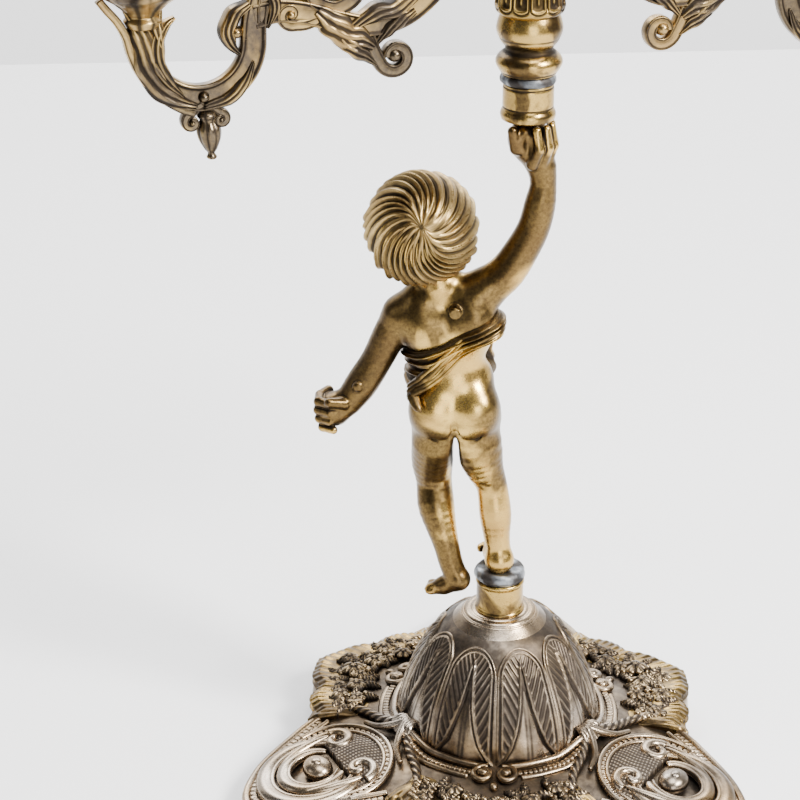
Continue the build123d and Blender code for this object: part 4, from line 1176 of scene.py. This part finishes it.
def hairCap():
    # locks that leave a short parting at the whorl and swirl outwards to a rolled hairline
    rows, cols = 170, 30 * 22
    axis = np.asarray(figure["whorl"]) / np.linalg.norm(figure["whorl"])
    right = np.cross(axis, (0, 0, 1.0))
    right /= np.linalg.norm(right)
    over = np.cross(right, axis)
    bearing = np.linspace(0, 2 * pi, cols, endpoint=False)[None]
    t = np.linspace(0.012, 1, rows)[:, None]
    limit = np.radians(104 + 13 * np.sin(bearing) - 3 * np.cos(2 * bearing))
    tilt = limit * t
    part = 0.20 * (1 - np.exp(-(tilt / 0.08) ** 2)) * np.exp(-(tilt / 0.85) ** 2)
    partBearing = np.radians(56)
    x = tilt * np.cos(bearing) + part * np.cos(bearing - partBearing) * np.cos(partBearing)
    y = tilt * np.sin(bearing) + part * np.cos(bearing - partBearing) * np.sin(partBearing)
    polar, around = np.hypot(x, y), np.arctan2(y, x)
    ray = (axis * np.cos(polar)[..., None]
           + (right * np.cos(around)[..., None] + over * np.sin(around)[..., None]) * np.sin(polar)[..., None])
    radii = np.asarray(figure["headRadii"])
    reach = 1 / np.linalg.norm(ray / radii, axis=-1)
    swirled = bearing + figure["swirl"] * (tilt / 1.8) ** 0.9
    phase = (figure["locks"] * swirled / (2 * pi) + 0.75 * np.sin(swirled + 0.6)
             + 0.40 * np.sin(2 * swirled + 2.0) + 0.22 * np.sin(5 * swirled + 1.0))
    number = np.floor(phase)
    across = 2 * (phase - number) - 1
    odd = np.sin(number * 2.4) * 0.5 + np.sin(number * 1.3 + 1) * 0.5
    pair = 2 * (phase / 2 - np.floor(phase / 2)) - 1
    single, double = 1 - np.abs(across + 0.10 * odd) ** 2.2, 1 - np.abs(pair) ** 2.2
    rope = double + (single - double) * smoothStep(0.16, 0.60, tilt)
    strands = 0.10 * np.cos(2.6 * pi * across + 1) + 0.06 * np.cos(6.0 * pi * across + 2 * tilt)
    depth = figure["lockDepth"] * (0.10 + 0.90 * smoothStep(0.0, 0.60, tilt)) * (1 + 0.22 * odd)
    roll = bump(t, 0.88 + 0.05 * odd, 0.09) * (0.6 + 0.3 * odd)
    tuck = -3.4 * smoothStep(0.94 + 0.03 * odd, 1.0, t)
    lift = depth * (rope - 0.85 + strands * smoothStep(0.15, 0.6, tilt)) + roll + tuck
    surface = np.asarray(figure["headCentre"]) + ray * (reach + lift)[..., None]
    inner = np.asarray(figure["headCentre"]) + ray[::-10] * (reach[::-10] * 0.86)[..., None]
    dark = (1.2 * (1 - rope) ** 1.4 * smoothStep(0.02, 0.40, tilt) + 0.25 * np.clip(-strands * 8, 0, 1) + 0.12
            + 0.5 * smoothStep(0.94, 1, t))
    dark = np.clip(dark + 0.5 * bump(tilt, 0, 0.05), 0, 1)
    return loft(np.concatenate([surface, inner]), np.concatenate([dark, dark[::-10]]))


makePiece("swirledHair", [lifted(hairCap())], hairMetal, "stand", ["figure_body"])


def wrapSurface(centreLine, bearings, lift, below):
    # stands a grid off the torso: from each height's middle, outwards to the skin, then by the lift
    rows, cols = bearings.shape
    ray = np.stack([np.cos(bearings), np.sin(bearings), np.zeros_like(bearings)], -1).reshape(-1, 3)
    start = centreLine.reshape(-1, 3)
    near, far = np.full(len(ray), 2.0), np.full(len(ray), 30.0)
    for step in range(22):
        middle = 0.5 * (near + far)
        inside = torsoField(start + ray * middle[:, None]) < 0
        near, far = np.where(inside, middle, near), np.where(inside, far, middle)
    skin = 0.5 * (near + far)
    return ((start + ray * (skin + lift.reshape(-1))[:, None]).reshape(rows, cols, 3),
            (start + ray * (skin - below)[:, None]).reshape(rows, cols, 3))


def torsoField(p):
    # the trunk closed below the hips, for cloth to lie on
    return meltIn(trunkField(p), rodField(p, (8.0, 0.2, 45), (22, 0.2, 45), 9.0, 9.0), 3)


def trunkAxis(z):
    # the trunk's middle at each height
    return np.stack([np.full_like(z, 15.8), np.full_like(z, -0.5), z], -1)


# folds across the band, and their depth and the cloth's thickness
drape = {"folds": 4, "foldDepth": 1.6, "thickness": 1.7}


def sashParts():
    # a scarf wound round the waist: high under the raised arm, low on the other hip, with lengthwise folds that
    # gather there, and a fuller panel that falls across the front of the hips
    rows, cols = 250, 60
    bearing = np.linspace(0, 2 * pi, rows, endpoint=False)[:, None]
    v = np.linspace(0, 1, cols)[None]
    side = np.cos(bearing)
    front = smoothStep(0.15, 0.85, -np.sin(bearing))
    high = 82.0 - 7.0 * side - 6.0 * front
    width = 8.6 + 2.6 * np.maximum(side, 0) + 27.0 * front * (0.75 + 0.25 * side) + 0.8 * np.sin(2 * bearing)
    z = high + 4.2 - width * v
    sway = 0.22 * np.sin(2.0 * bearing + 3 * v) + 0.14 * np.sin(5 * bearing - 2 * v + 1)
    ridge = np.cos(2 * pi * (drape["folds"] * v ** 0.9 * (1 + 0.5 * front) + sway))
    fine = np.cos(2 * pi * (2.3 * drape["folds"] * v + 1.7 * sway + 0.2))
    hang = (drape["thickness"] + drape["foldDepth"] * (0.5 + 0.5 * ridge) * (0.6 + 0.4 * np.sin(pi * v))
            + 0.22 * fine + 1.6 * front * v)
    hang = hang - 1.7 * (smoothStep(0.08, 0, v) + smoothStep(0.92, 1, v))
    top, under = wrapSurface(trunkAxis(z), np.broadcast_to(bearing, z.shape), hang, 1.2)
    dark = np.clip(0.62 * (0.5 - 0.5 * ridge) ** 2 + 0.12 * (1 - fine) + 0.35 * np.abs(2 * v - 1) ** 10, 0, 1)
    parts = [slab(top, under, dark, wrap=True)]
    for k in range(6):
        # one gathered fold: along the band to the knot on the hip, then spreading down to a pointed end
        around = np.radians(curveThrough([(0, 104), (1, 76), (2, 54), (3, 36), (4, 22 + 3.0 * k),
                                          (5, 17 + 7.5 * k)], 70)[:, 1])[None]
        level = curveThrough([(0, 87 - 1.4 * k), (1, 83.6 - 1.5 * k), (2, 80.0 - 1.5 * k), (3, 77.0 - 1.3 * k),
                              (4, 72.5 - 1.5 * k), (5, 66.6 - 0.9 * k)], 70)[:, 1][None]
        n = np.linspace(0, 1, 70)
        standOff = 1.6 + 1.5 * bump(n, 0.62, 0.16) + 0.4 * (k % 2) + 0.9 * smoothStep(0.7, 1, n)
        path = wrapSurface(trunkAxis(level), around, standOff[None], 0)[0][0]
        thick = (np.interp(n, [0, 0.25, 0.6, 0.8, 0.95, 1], [0.5, 1.1, 1.25, 2.0, 1.3, 0.3])
                 + 0.10 * np.sin(19 * n + 2 * k))
        parts.append(tube(path, thick, 18, up=(0.3, 0.2, 1), flat=0.75, recess=0.15 + 0.12 * (k % 2)))
    return parts


makePiece("hipScarf", [lifted(part) for part in sashParts()], figureMetal, "stand",
          ["figure_body"])
refinish("core_plugs", figureMetal)


# An arm is drawn in its own upright plane: r out from the stem, t across towards the figure's back, z up.
arm = {"azimuth": 22.5, "reach": 117.0, "bend": 15.85, "bendHeight": 262.0, "root": 292.6}
outX, outY = np.cos(np.radians(arm["azimuth"])), np.sin(np.radians(arm["azimuth"]))


def onSide(part, hand):
    # from the arm's plane to its bearing round the stem: hand 1 for the left arm, -1 for the right
    r, t, z = part["points"].T
    turned = np.stack([stemX + hand * r * outX - t * outY, hand * r * outY + t * outX, z], 1)
    return outward({**part, "points": turned})


def strap(line, width, thick, count=120, channel=0.0, around=36, lobes=0, veins=0.0):
    # a bar along a curve of r and z, flat across: a channel sinks both faces between raised rims; lobes wave
    # its edges like an acanthus leaf, and veins raise long flutes that run slantwise along it
    path = curveThrough(line, count)
    share = np.linspace(0, 1, count)[:, None]
    wide = np.interp(share, np.linspace(0, 1, len(width)), width)
    deep = np.interp(share, np.linspace(0, 1, len(thick)), thick)
    along = np.gradient(path, axis=0)
    along /= np.linalg.norm(along, axis=1)[:, None]
    normal = np.stack([-along[:, 1], along[:, 0]], 1)
    turn = np.linspace(0, 2 * pi, around, endpoint=False)[None]
    s = np.sign(np.cos(turn)) * np.abs(np.cos(turn)) ** 0.9
    t = np.sign(np.sin(turn)) * np.abs(np.sin(turn)) ** 0.5
    notch = 1 - 0.15 * (lobes > 0) * (0.5 - 0.5 * np.cos(2 * pi * (lobes * share + 0.18 * np.sign(s))))
    crease = np.cos(2 * pi * (1.45 * s + 0.55 * lobes * share))
    floor = smoothStep(0.80, 0.62, np.abs(s)) * channel
    out = 0.5 * wide * s * notch
    face = 0.5 * deep * t * (1 - floor) + np.sign(t) * veins * crease * (1 - s ** 2)
    points = path[:, None] + normal[:, None] * out[..., None]
    dark = (0.10 + 0.9 * bump(np.abs(s), 0.66, 0.10) * (channel > 0)
            + 0.95 * (0.5 - 0.5 * crease) ** 2 * (veins > 0))
    return loft(np.stack([points[..., 0], face, points[..., 1]], -1), np.clip(dark, 0, 1))


def spiralLine(centre, start, radius, turns, count=40, end=0.6):
    # points that wind in to a centre
    a = np.linspace(start, start + 2 * pi * turns, count)
    r = radius + (end - radius) * np.linspace(0, 1, count) ** 0.9
    return np.stack([centre[0] + r * np.cos(a), centre[1] + r * np.sin(a)], 1)


def button(r, z, size, depth):
    # a round boss standing through both faces
    return ball((r, 0, z), (size, depth, size), 10, 20)


def pendantRelief(angle, share, height):
    # eight shallow gadroons round the drop's belly
    lobe = np.abs(np.cos(4 * angle))
    return 0.35 * lobe * bump(height, 235.5, 4), 0.6 - 0.6 * lobe


def sideArm():
    # the casting's strokes: U bend, rising volute, lower scroll with a curled leaf, acanthus, boss and pendant
    centre = arm["reach"] - arm["bend"]
    under = np.linspace(pi, 2 * pi, 24)
    bend = np.stack([centre + arm["bend"] * np.cos(under), arm["bendHeight"] + arm["bend"] * np.sin(under)], 1)
    shapes = [strap(np.vstack([[(84.2, 272), (85.1, 266)], bend, [(117.0, 266), (117.0, 272.5)]]),
                    [7.6, 8, 8.2, 8, 7], [5.2, 5.6, 5.6, 5.4, 4.6], 220, 0.42)]
    shapes.append(strap([(80.9, 266.6), (80.6, 272.0), (79.4, 279.5)], [7.2, 7.4, 6.6], [5.2, 5.4], 60, 0.42))
    volute = spiralLine((61.3, 276.6), 0.0, 7.0, 0.95, 30, 1.6)
    rising = [(85.3, 262), (84.6, 268), (82.6, 275), (79, 282), (73.5, 287.6), (67, 290.2), (60, 289.6),
              (54.6, 285.4), (52.6, 278.6), (55.0, 271.8),
              (60.6, 268.9), (66.4, 271.2), (68.9, 276.4)]
    shapes.append(strap(rising, [7.4, 7.6, 7.0, 6.0, 5.2, 4.2], [5.2, 5.6, 5.6, 5.2], 200, 0.42))
    shapes.append(strap(volute, [4.2, 3.4, 2.4], [5.0, 5.6], 90, 0.3, 24))
    shapes.append(button(61.3, 276.6, 2.6, 3.6))
    shapes.append(strap([(9.4, 292.6), (15, 289.6), (22, 282.6), (29, 273.6), (36, 267.0), (43, 263.6),
                         (51, 262.9), (60, 265.0), (70, 268.3), (78, 269.6), (85, 268.5)],
                        [7.2, 7.6, 7.4, 6.6, 6.6, 7.2, 7.4], [6.0, 5.6, 5.4, 5.4], 220, 0.42))
    # plain hooks: the curled end of the lower leaf and the small C by the strap
    curl = np.vstack([[(51.0, 259.0), (49.0, 254.4)], spiralLine((42.6, 252.8), -0.42, 4.9, -0.92, 34, 2.2)])
    shapes.append(strap(curl, [5.0, 4.4, 4.0, 3.8, 3.6], [5.0, 5.2, 5.6], 150, 0.3, 26))
    shapes.append(button(42.9, 253.4, 2.3, 3.4))
    shapes.append(strap(np.vstack([[(64, 266.6), (69, 264.9)],
                                   spiralLine((74.2, 268.2), -1.9, 3.6, 0.9, 24, 0.8)]), [2.6, 3.4, 3.2, 2.2],
                        [4.8, 5.4], 90, 0.3, 20))
    shapes.append(button(74.2, 268.3, 1.5, 3.3))
    shapes.append(strap([(103.6, 242.0), (107.4, 243.6), (112.0, 246.8), (115.8, 250.6), (119.0, 255.8),
                         (121.0, 261.0), (122.2, 266.0), (124.4, 270.4), (127.2, 274.0), (129.2, 276.8)],
                        [2.4, 2.8, 2.8, 2.6, 2.4], [6.0, 6.6, 6.4, 5.4, 3.6], 150, 0.2, 24))
    leaves = []
    for line, width, thick, count, lobes, veins in (
            ([(103.0, 244.0), (109.0, 246.6), (113.8, 251.2), (116.6, 257.2), (117.6, 263.4), (118.8, 269.0),
              (121.8, 274.0)], [2.0, 6.4, 8.4, 8.2, 7.0, 2.4], [5.6, 7.6, 8.0, 7.4, 4.0], 160, 4, 0.50),
            ([(107.0, 247.4), (111.6, 252.6), (113.9, 258.6), (113.4, 264.2), (110.6, 268.4), (107.9, 270.2)],
             [1.6, 4.4, 5.6, 5.4, 4.0, 1.0], [5.0, 7.4, 8.2, 6.8, 2.6], 120, 3, 0.45),
            ([(112.6, 262.0), (113.6, 268.0), (112.0, 274.0)], [2.0, 5.0, 1.2], [6.0, 7.4, 3.0], 70, 2, 0.40),
            ([(100.6, 243.8), (94.2, 245.2), (88.8, 249.4), (85.6, 255.8)], [2.2, 4.6, 4.2, 1.2],
             [5.6, 7.0, 4.4], 90, 2, 0.35),
            ([(86.4, 272.4), (90.2, 270.2), (92.9, 266.0), (92.4, 261.6), (89.4, 257.8)],
             [2.4, 4.6, 5.2, 4.2, 1.0], [5.0, 7.0, 6.4, 3.2], 90, 3, 0.45),
            ([(66.0, 269.0), (61.6, 264.4), (57.4, 260.8), (53.0, 259.0), (49.4, 256.4)],
             [4.2, 8.8, 9.8, 8.0, 3.0], [4.8, 6.6, 6.4, 4.6], 130, 3, 0.50),
            ([(60.0, 262.6), (56.4, 257.6), (51.6, 253.6), (48.6, 251.0)], [3.0, 6.2, 5.0, 1.0],
             [5.0, 6.6, 3.6], 90, 3, 0.45),
            ([(48.4, 257.6), (45.4, 260.6), (41.6, 263.4), (36.6, 266.2)], [2.0, 4.4, 4.6, 2.4],
             [4.0, 6.2, 4.6], 80, 3, 0.40),
            ([(56, 263.0), (49, 266.4), (42, 267.4), (34.4, 271.8)], [3, 6.0, 5.6, 2.4], [5.2, 6.8, 4.8], 90, 3,
             0.42),
            ([(84.6, 280.0), (80.4, 276.0), (79.0, 271.0), (81.2, 265.0)], [1.6, 4.0, 4.2, 1.0],
             [5.0, 6.8, 4.4], 80, 2, 0.35)):
        leaves.append(strap(line, width, thick, count, 0.0, 40, lobes, veins))
    leaves.append(button(90.6, 264.6, 2.0, 3.9))
    shapes.append(button(100.8, 246.6, 1.9, 3.9))
    for r, z, size, sense in ((104.4, 239.2, 2.7, 1), (95.9, 239.4, 2.2, -1)):
        root = np.array([(100.6 + sense * 0.6, 244.4), (100.6 + sense * 2.6, 243.2)])
        shapes.append(strap(np.vstack([root, spiralLine((r, z), 0.5 * pi, size, -sense * 1.0, 30, 0.6)]),
                            [2.6, 2.6, 2.4, 1.8], [4.6, 5.0], 90, 0.2, 20))
        shapes.append(button(r, z, 1.0, 2.9))
    drop = curveThrough([(0.6, 243.0), (3.0, 241.0), (2.3, 239.2), (3.3, 236.6), (3.0, 233.4), (1.9, 230.6),
                         (1.0, 229.2), (1.5, 228.2), (1.3, 227.5), (0.3, 227.2)], 60)
    pendant = turnedPiece(0, 0, drop, 70, 48, pendantRelief)
    pendant["points"][:, 0] += 99.6 + 0.07 * (pendant["points"][:, 2] - 240)
    shapes.append(pendant)
    shapes.append(tube([(4.6, 0, arm["root"]), (7.0, 0, arm["root"]), (14.0, 0, arm["root"] - 0.6)],
                       [2.98, 2.98, 2.6], 20, up=(0, 1, 0)))

    def calyx(angle, share, height):
        # eight pointed leaves round the flare, creased down their middles
        leaf = np.abs(np.cos(4 * angle))
        grow = smoothStep(272, 279.5, height)
        return (grow * (0.9 * leaf ** 0.7 - 0.55),
                np.clip(0.75 * (1 - leaf) + 0.4 * bump(leaf, 1, 0.03) * grow, 0, 1))

    seat = [(0.2, 268.0), (4.6, 268.2), (5.6, 270.2), (4.4, 271.6), (5.6, 273.2), (8.2, 275.6), (11.6, 277.8),
            (12.3, 279.2), (11.6, 280.2), (10.2, 280.9), (2.6, 280.98), (2.5, 275)]
    shapes.append(turnedPiece(arm["reach"], 0, np.array(seat), 90, 96, calyx))
    return shapes, leaves


print("arms")
strokes = sideArm()
for side, hand in (("left", 1), ("right", -1)):
    for name, group in zip(("scrolledArm", "armLeaves"), strokes):
        makePiece(name + side.capitalize(), [onSide(shape, hand) for shape in group], armMetal, "branch",
                  ["arm_" + side])


hubLow, hubHigh = heights("hub")


def hubRelief(angle, share, height):
    # a frieze of round beads between two fine lines all round, its recess a little lower where the arms enter
    around = np.abs((np.degrees(angle) - arm["azimuth"] + 90) % 180 - 90)
    free = smoothStep(26, 34, around)
    bead = np.sqrt(np.clip(1 - (2.0 * np.abs((angle * 24 / (2 * pi)) % 1 - 0.5)) ** 2, 0, 1))
    band = bump(height, hubLow + 2.6, 1.1)
    line = bump(height, hubLow + 4.6, 0.22) + bump(height, hubLow + 10.8, 0.22)
    return 0.55 * bead * band - 0.2 * line, np.clip(0.8 * line + 0.6 * band * (1 - bead) + 0.15 * free, 0, 1)


well = hubHigh - 7.0
hubLine = [(3.1, hubLow), (8.6, hubLow), (9.3, hubLow + 0.5), (9.5, hubLow + 4.0), (9.9, hubLow + 5.2),
           (10.0, hubLow + 10.4), (9.7, hubLow + 12.2), (9.3, hubLow + 13.0),
           (8.55, hubLow + 13.0), (8.55, hubHigh), (7.5, hubHigh), (7.5, well), (3.1, well), (3.1, hubLow)]
makePiece("hubTurning", [turnedPiece(stemX, 0, hubLine, 150, 168, hubRelief, wrap=True)], stemMetal, "branch",
          ["hub"])
knobHigh = heights("top_knop")[1]


def topKnopRelief(angle, share, height):
    # gadroons on the urn and a leaf collar below the seat
    v = (height - hubHigh) / (knobHigh - hubHigh)
    lobe = np.abs(np.cos(8 * angle))
    urn = bump(v, 0.58, 0.12)
    foot = bump(v, 0.06, 0.06) * (height > hubHigh)
    return (urn * 0.8 * (lobe ** 0.7 - 0.6) + 0.4 * foot * (np.abs(np.cos(6 * angle)) - 0.6),
            np.clip(urn * 0.9 * (1 - lobe) + 0.5 * bump(v, 0.80, 0.05) + 0.35 * bump(v, 0.24, 0.06) + 0.1,
                    0, 1))


up = knobHigh - hubHigh
knobLine = np.vstack([[(8.62, hubHigh - 0.02), (8.62, hubHigh - 5), (9.9, hubHigh - 5)],
                      curveThrough([(10.0, -4.8), (10.3, -2.5), (10.0, 0), (6.8, 0.09 * up), (5.4, 0.22 * up),
                                    (6.4, 0.36 * up), (8.9, 0.52 * up), (9.2, 0.66 * up),
                                    (7.2, 0.77 * up), (5.6, 0.84 * up), (8.0, 0.92 * up), (10.8, 0.965 * up),
                                    (11.1, 0.99 * up)], 90) + (0, hubHigh),
                      [(10.9, knobHigh), (2.6, knobHigh), (2.6, knobHigh - 7), (0.3, knobHigh - 7)]])
makePiece("topKnop", [turnedPiece(stemX, 0, knobLine, 170, 192, topKnopRelief)], stemMetal, "branch",
          ["top_knop"])


def panRelief(angle, share, height):
    # tarnish in the creases between the petals
    petal = np.abs(np.cos(6 * angle))
    return 0.0, np.clip(0.35 * (1 - petal) + 0.2, 0, 1)


def cupRelief(angle, share, v):
    # upright leaves round the cup's belly and a reeded rim
    leaf = np.abs(np.cos(4 * angle))
    belly = bump(v, 0.42, 0.20)
    reed = np.abs(np.cos(24 * angle)) * bump(v, 0.965, 0.03)
    outside = share < 0.55
    rise = outside * (0.55 * belly * (leaf ** 0.6 - 0.55) + 0.22 * reed)
    return rise, np.clip(outside
                         * (0.85 * belly * (1 - leaf) + 0.45 * bump(v, 0.15, 0.05)
                            + 0.5 * (1 - reed) * bump(v, 0.965, 0.03)) + 0.3 * (share > 0.6), 0, 1)


lights = {"left": (stemX + arm["reach"] * outX, arm["reach"] * outY),
          "right": (stemX - arm["reach"] * outX, -arm["reach"] * outY), "centre": (stemX, 0.0)}
for place, (x, y) in lights.items():
    low = heights("drip_pan_" + place)[0]
    panLine = np.vstack([[(cupHole, low), (11.4, low)],
                         curveThrough([(11.6, 0.0), (16.0, 1.2), (19.2, 2.6), (20.4, 3.8), (20.9, 4.7),
                                       (20.6, 5.0), (19.9, 4.7), (18.6, 3.7),
                         (15.6, 2.5), (11.4, 1.45)], 60) + (0, low), [(cupHole, low + 1.4), (cupHole, low)]])
    pan = turnedPiece(x, y, panLine, 110, 192, panRelief, wrap=True)
    dx, dy = pan["points"][:, 0] - x, pan["points"][:, 1] - y
    reach, bearing = np.hypot(dx, dy), np.arctan2(dy, dx)
    outerShare = smoothStep(12, 20.5, reach)
    lobes = np.abs(np.cos(6 * bearing))
    pan["points"][:, 0] = x + dx * (1 - 0.075 * outerShare * (1 - lobes ** 0.6))
    pan["points"][:, 1] = y + dy * (1 - 0.075 * outerShare * (1 - lobes ** 0.6))
    pan["points"][:, 2] += 0.55 * outerShare * (lobes ** 0.6 - 1)
    makePiece("petalPan" + place.capitalize(), [pan], cupMetal, "light_" + place,
              ["drip_pan_" + place])
    low, high = heights("candle_cup_" + place)
    tall = high - low
    outside = curveThrough([(7.5, 0.01), (7.3, 0.05), (5.6, 0.11), (5.1, 0.16), (6.6, 0.21), (10.6, 0.28),
                            (13.0, 0.38), (13.5, 0.52), (12.7, 0.72), (12.8, 0.86), (14.3, 0.93),
                            (14.7, 0.97), (14.2, 1.0)], 100) * (1, tall) + (0, low)
    inside = [(11.5, high), (11.3, high - 0.6), (11.26, high - 19.9), (10.6, high - 20), (0.3, high - 20)]
    cupLine = np.vstack([[(cupHole, low + 8), (cupHole, low)], outside, inside])
    cup = turnedPiece(x, y, cupLine, 190, 192, lambda angle, share,
                      height: cupRelief(angle, share, (height - low) / tall))
    makePiece("leafCup" + place.capitalize(), [cup], cupMetal, "light_" + place,
              ["candle_cup_" + place])


def plainSheet(name, corners, material):
    # one flat face through four corners
    mesh = bpy.data.meshes.new(name)
    mesh.from_pydata(corners, [], [(0, 1, 2, 3)])
    mesh.materials.append(material)
    sheet = bpy.data.objects.new(name, mesh)
    bpy.context.scene.collection.objects.link(sheet)


def paleFinish(name, colour, rough):
    # painted board with the faintest cloudiness
    made = bpy.data.materials.new(name)
    made.use_nodes = True
    tree = made.node_tree
    shader = tree.nodes["Principled BSDF"]
    place = tree.nodes.new("ShaderNodeTexCoord").outputs["Object"]
    tone = blendColours(tree, noise(tree, place, 2.5, 3), colour, tuple(0.97 * c for c in colour))
    tree.links.new(tone, shader.inputs["Base Color"])
    shader.inputs["Roughness"].default_value = rough
    return made


def standing(right, over, back, place):
    # the matrix that puts an object at a place with its three axes along these directions
    return Matrix([*zip(right, over, back, place), (0, 0, 0, 1)])


print("stage and light")
tableTop = paleFinish("paleTable", (0.86, 0.86, 0.865), 0.55)
wallPaint = paleFinish("paleWall", (0.80, 0.80, 0.805), 0.9)
plainSheet("tableTop", [(-4, -1.3656, 0), (4, -0.3648, 0), (4, 4, 0), (-4, 4, 0)], tableTop)
plainSheet("backWall", [(-6, -2.6, -2), (6, -2.6, -2), (6, -2.6, 4), (-6, -2.6, 4)], wallPaint)
wallShader = wallPaint.node_tree.nodes["Principled BSDF"].inputs
wallShader["Emission Color"].default_value = (1, 1, 1, 1)
wallShader["Emission Strength"].default_value = 1.5
camera = bpy.data.cameras.new("camera")
camera.lens, camera.sensor_width = 99.0, 36.0
viewer = bpy.data.objects.new("camera", camera)
bpy.context.scene.collection.objects.link(viewer)
# the camera's right, upward and backward directions, and where it stands
place = (-0.0116942, 0.6429662, 0.4341758)
right = (-0.99771922, -0.06795975, -0.0039545)
over = (0.02514564, -0.42190452, 0.90629916)
back = (-0.06326028, 0.90413265, 0.42261826)
viewer.matrix_world = standing(right, over, back, place)
bpy.context.scene.camera = viewer

studioLamps = {
    "keyFromRight": {"place": (-0.95, 0.55, 1.05), "size": 0.42, "power": 72, "colour": (1.0, 0.985, 0.96)},
    "topSoft": {"place": (-0.1, 0.25, 1.6), "size": 0.8, "power": 24},
    "frontSoft": {"place": (-0.45, 1.7, 0.42), "size": 0.9, "power": 16},
    "fillFromLeft": {"place": (1.3, 0.5, 0.6), "size": 0.5, "power": 1.5, "colour": (0.95, 0.97, 1.0)},
    "rimBehind": {"place": (0.5, -0.75, 0.9), "size": 0.5, "power": 8},
    "wallWash": {"place": (-0.2, -1.9, 1.6), "size": 1.2, "power": 60, "aim": (0, -2.6, -0.3)},
}
for name, lamp in studioLamps.items():
    data = bpy.data.lights.new(name, "AREA")
    data.shape, data.size, data.energy = "SQUARE", lamp["size"], lamp["power"]
    data.color = lamp.get("colour", (1.0, 1.0, 1.0))
    holder = bpy.data.objects.new(name, data)
    bpy.context.scene.collection.objects.link(holder)
    aim = np.array(lamp.get("aim", (0, 0, 0.15))) - np.array(lamp["place"])
    aim = aim / np.linalg.norm(aim)
    side = np.cross(aim, (0, 0, 1))
    side /= np.linalg.norm(side)
    top = np.cross(side, aim)
    holder.matrix_world = standing(side, top, -aim, lamp["place"])

world = bpy.data.worlds.new("studio")
bpy.context.scene.world = world
world.use_nodes = True
tree = world.node_tree
tree.nodes.clear()
sky = addNode(tree, "ShaderNodeBackground")
seen = tree.nodes.new("ShaderNodeLightPath").outputs["Is Camera Ray"]
tree.links.new(ramp(tree, seen, [(0.0, (0.16, 0.16, 0.17)), (1.0, (0.80, 0.80, 0.81))]), sky.inputs["Color"])
tree.links.new(sky.outputs["Background"], tree.nodes.new("ShaderNodeOutputWorld").inputs["Surface"])
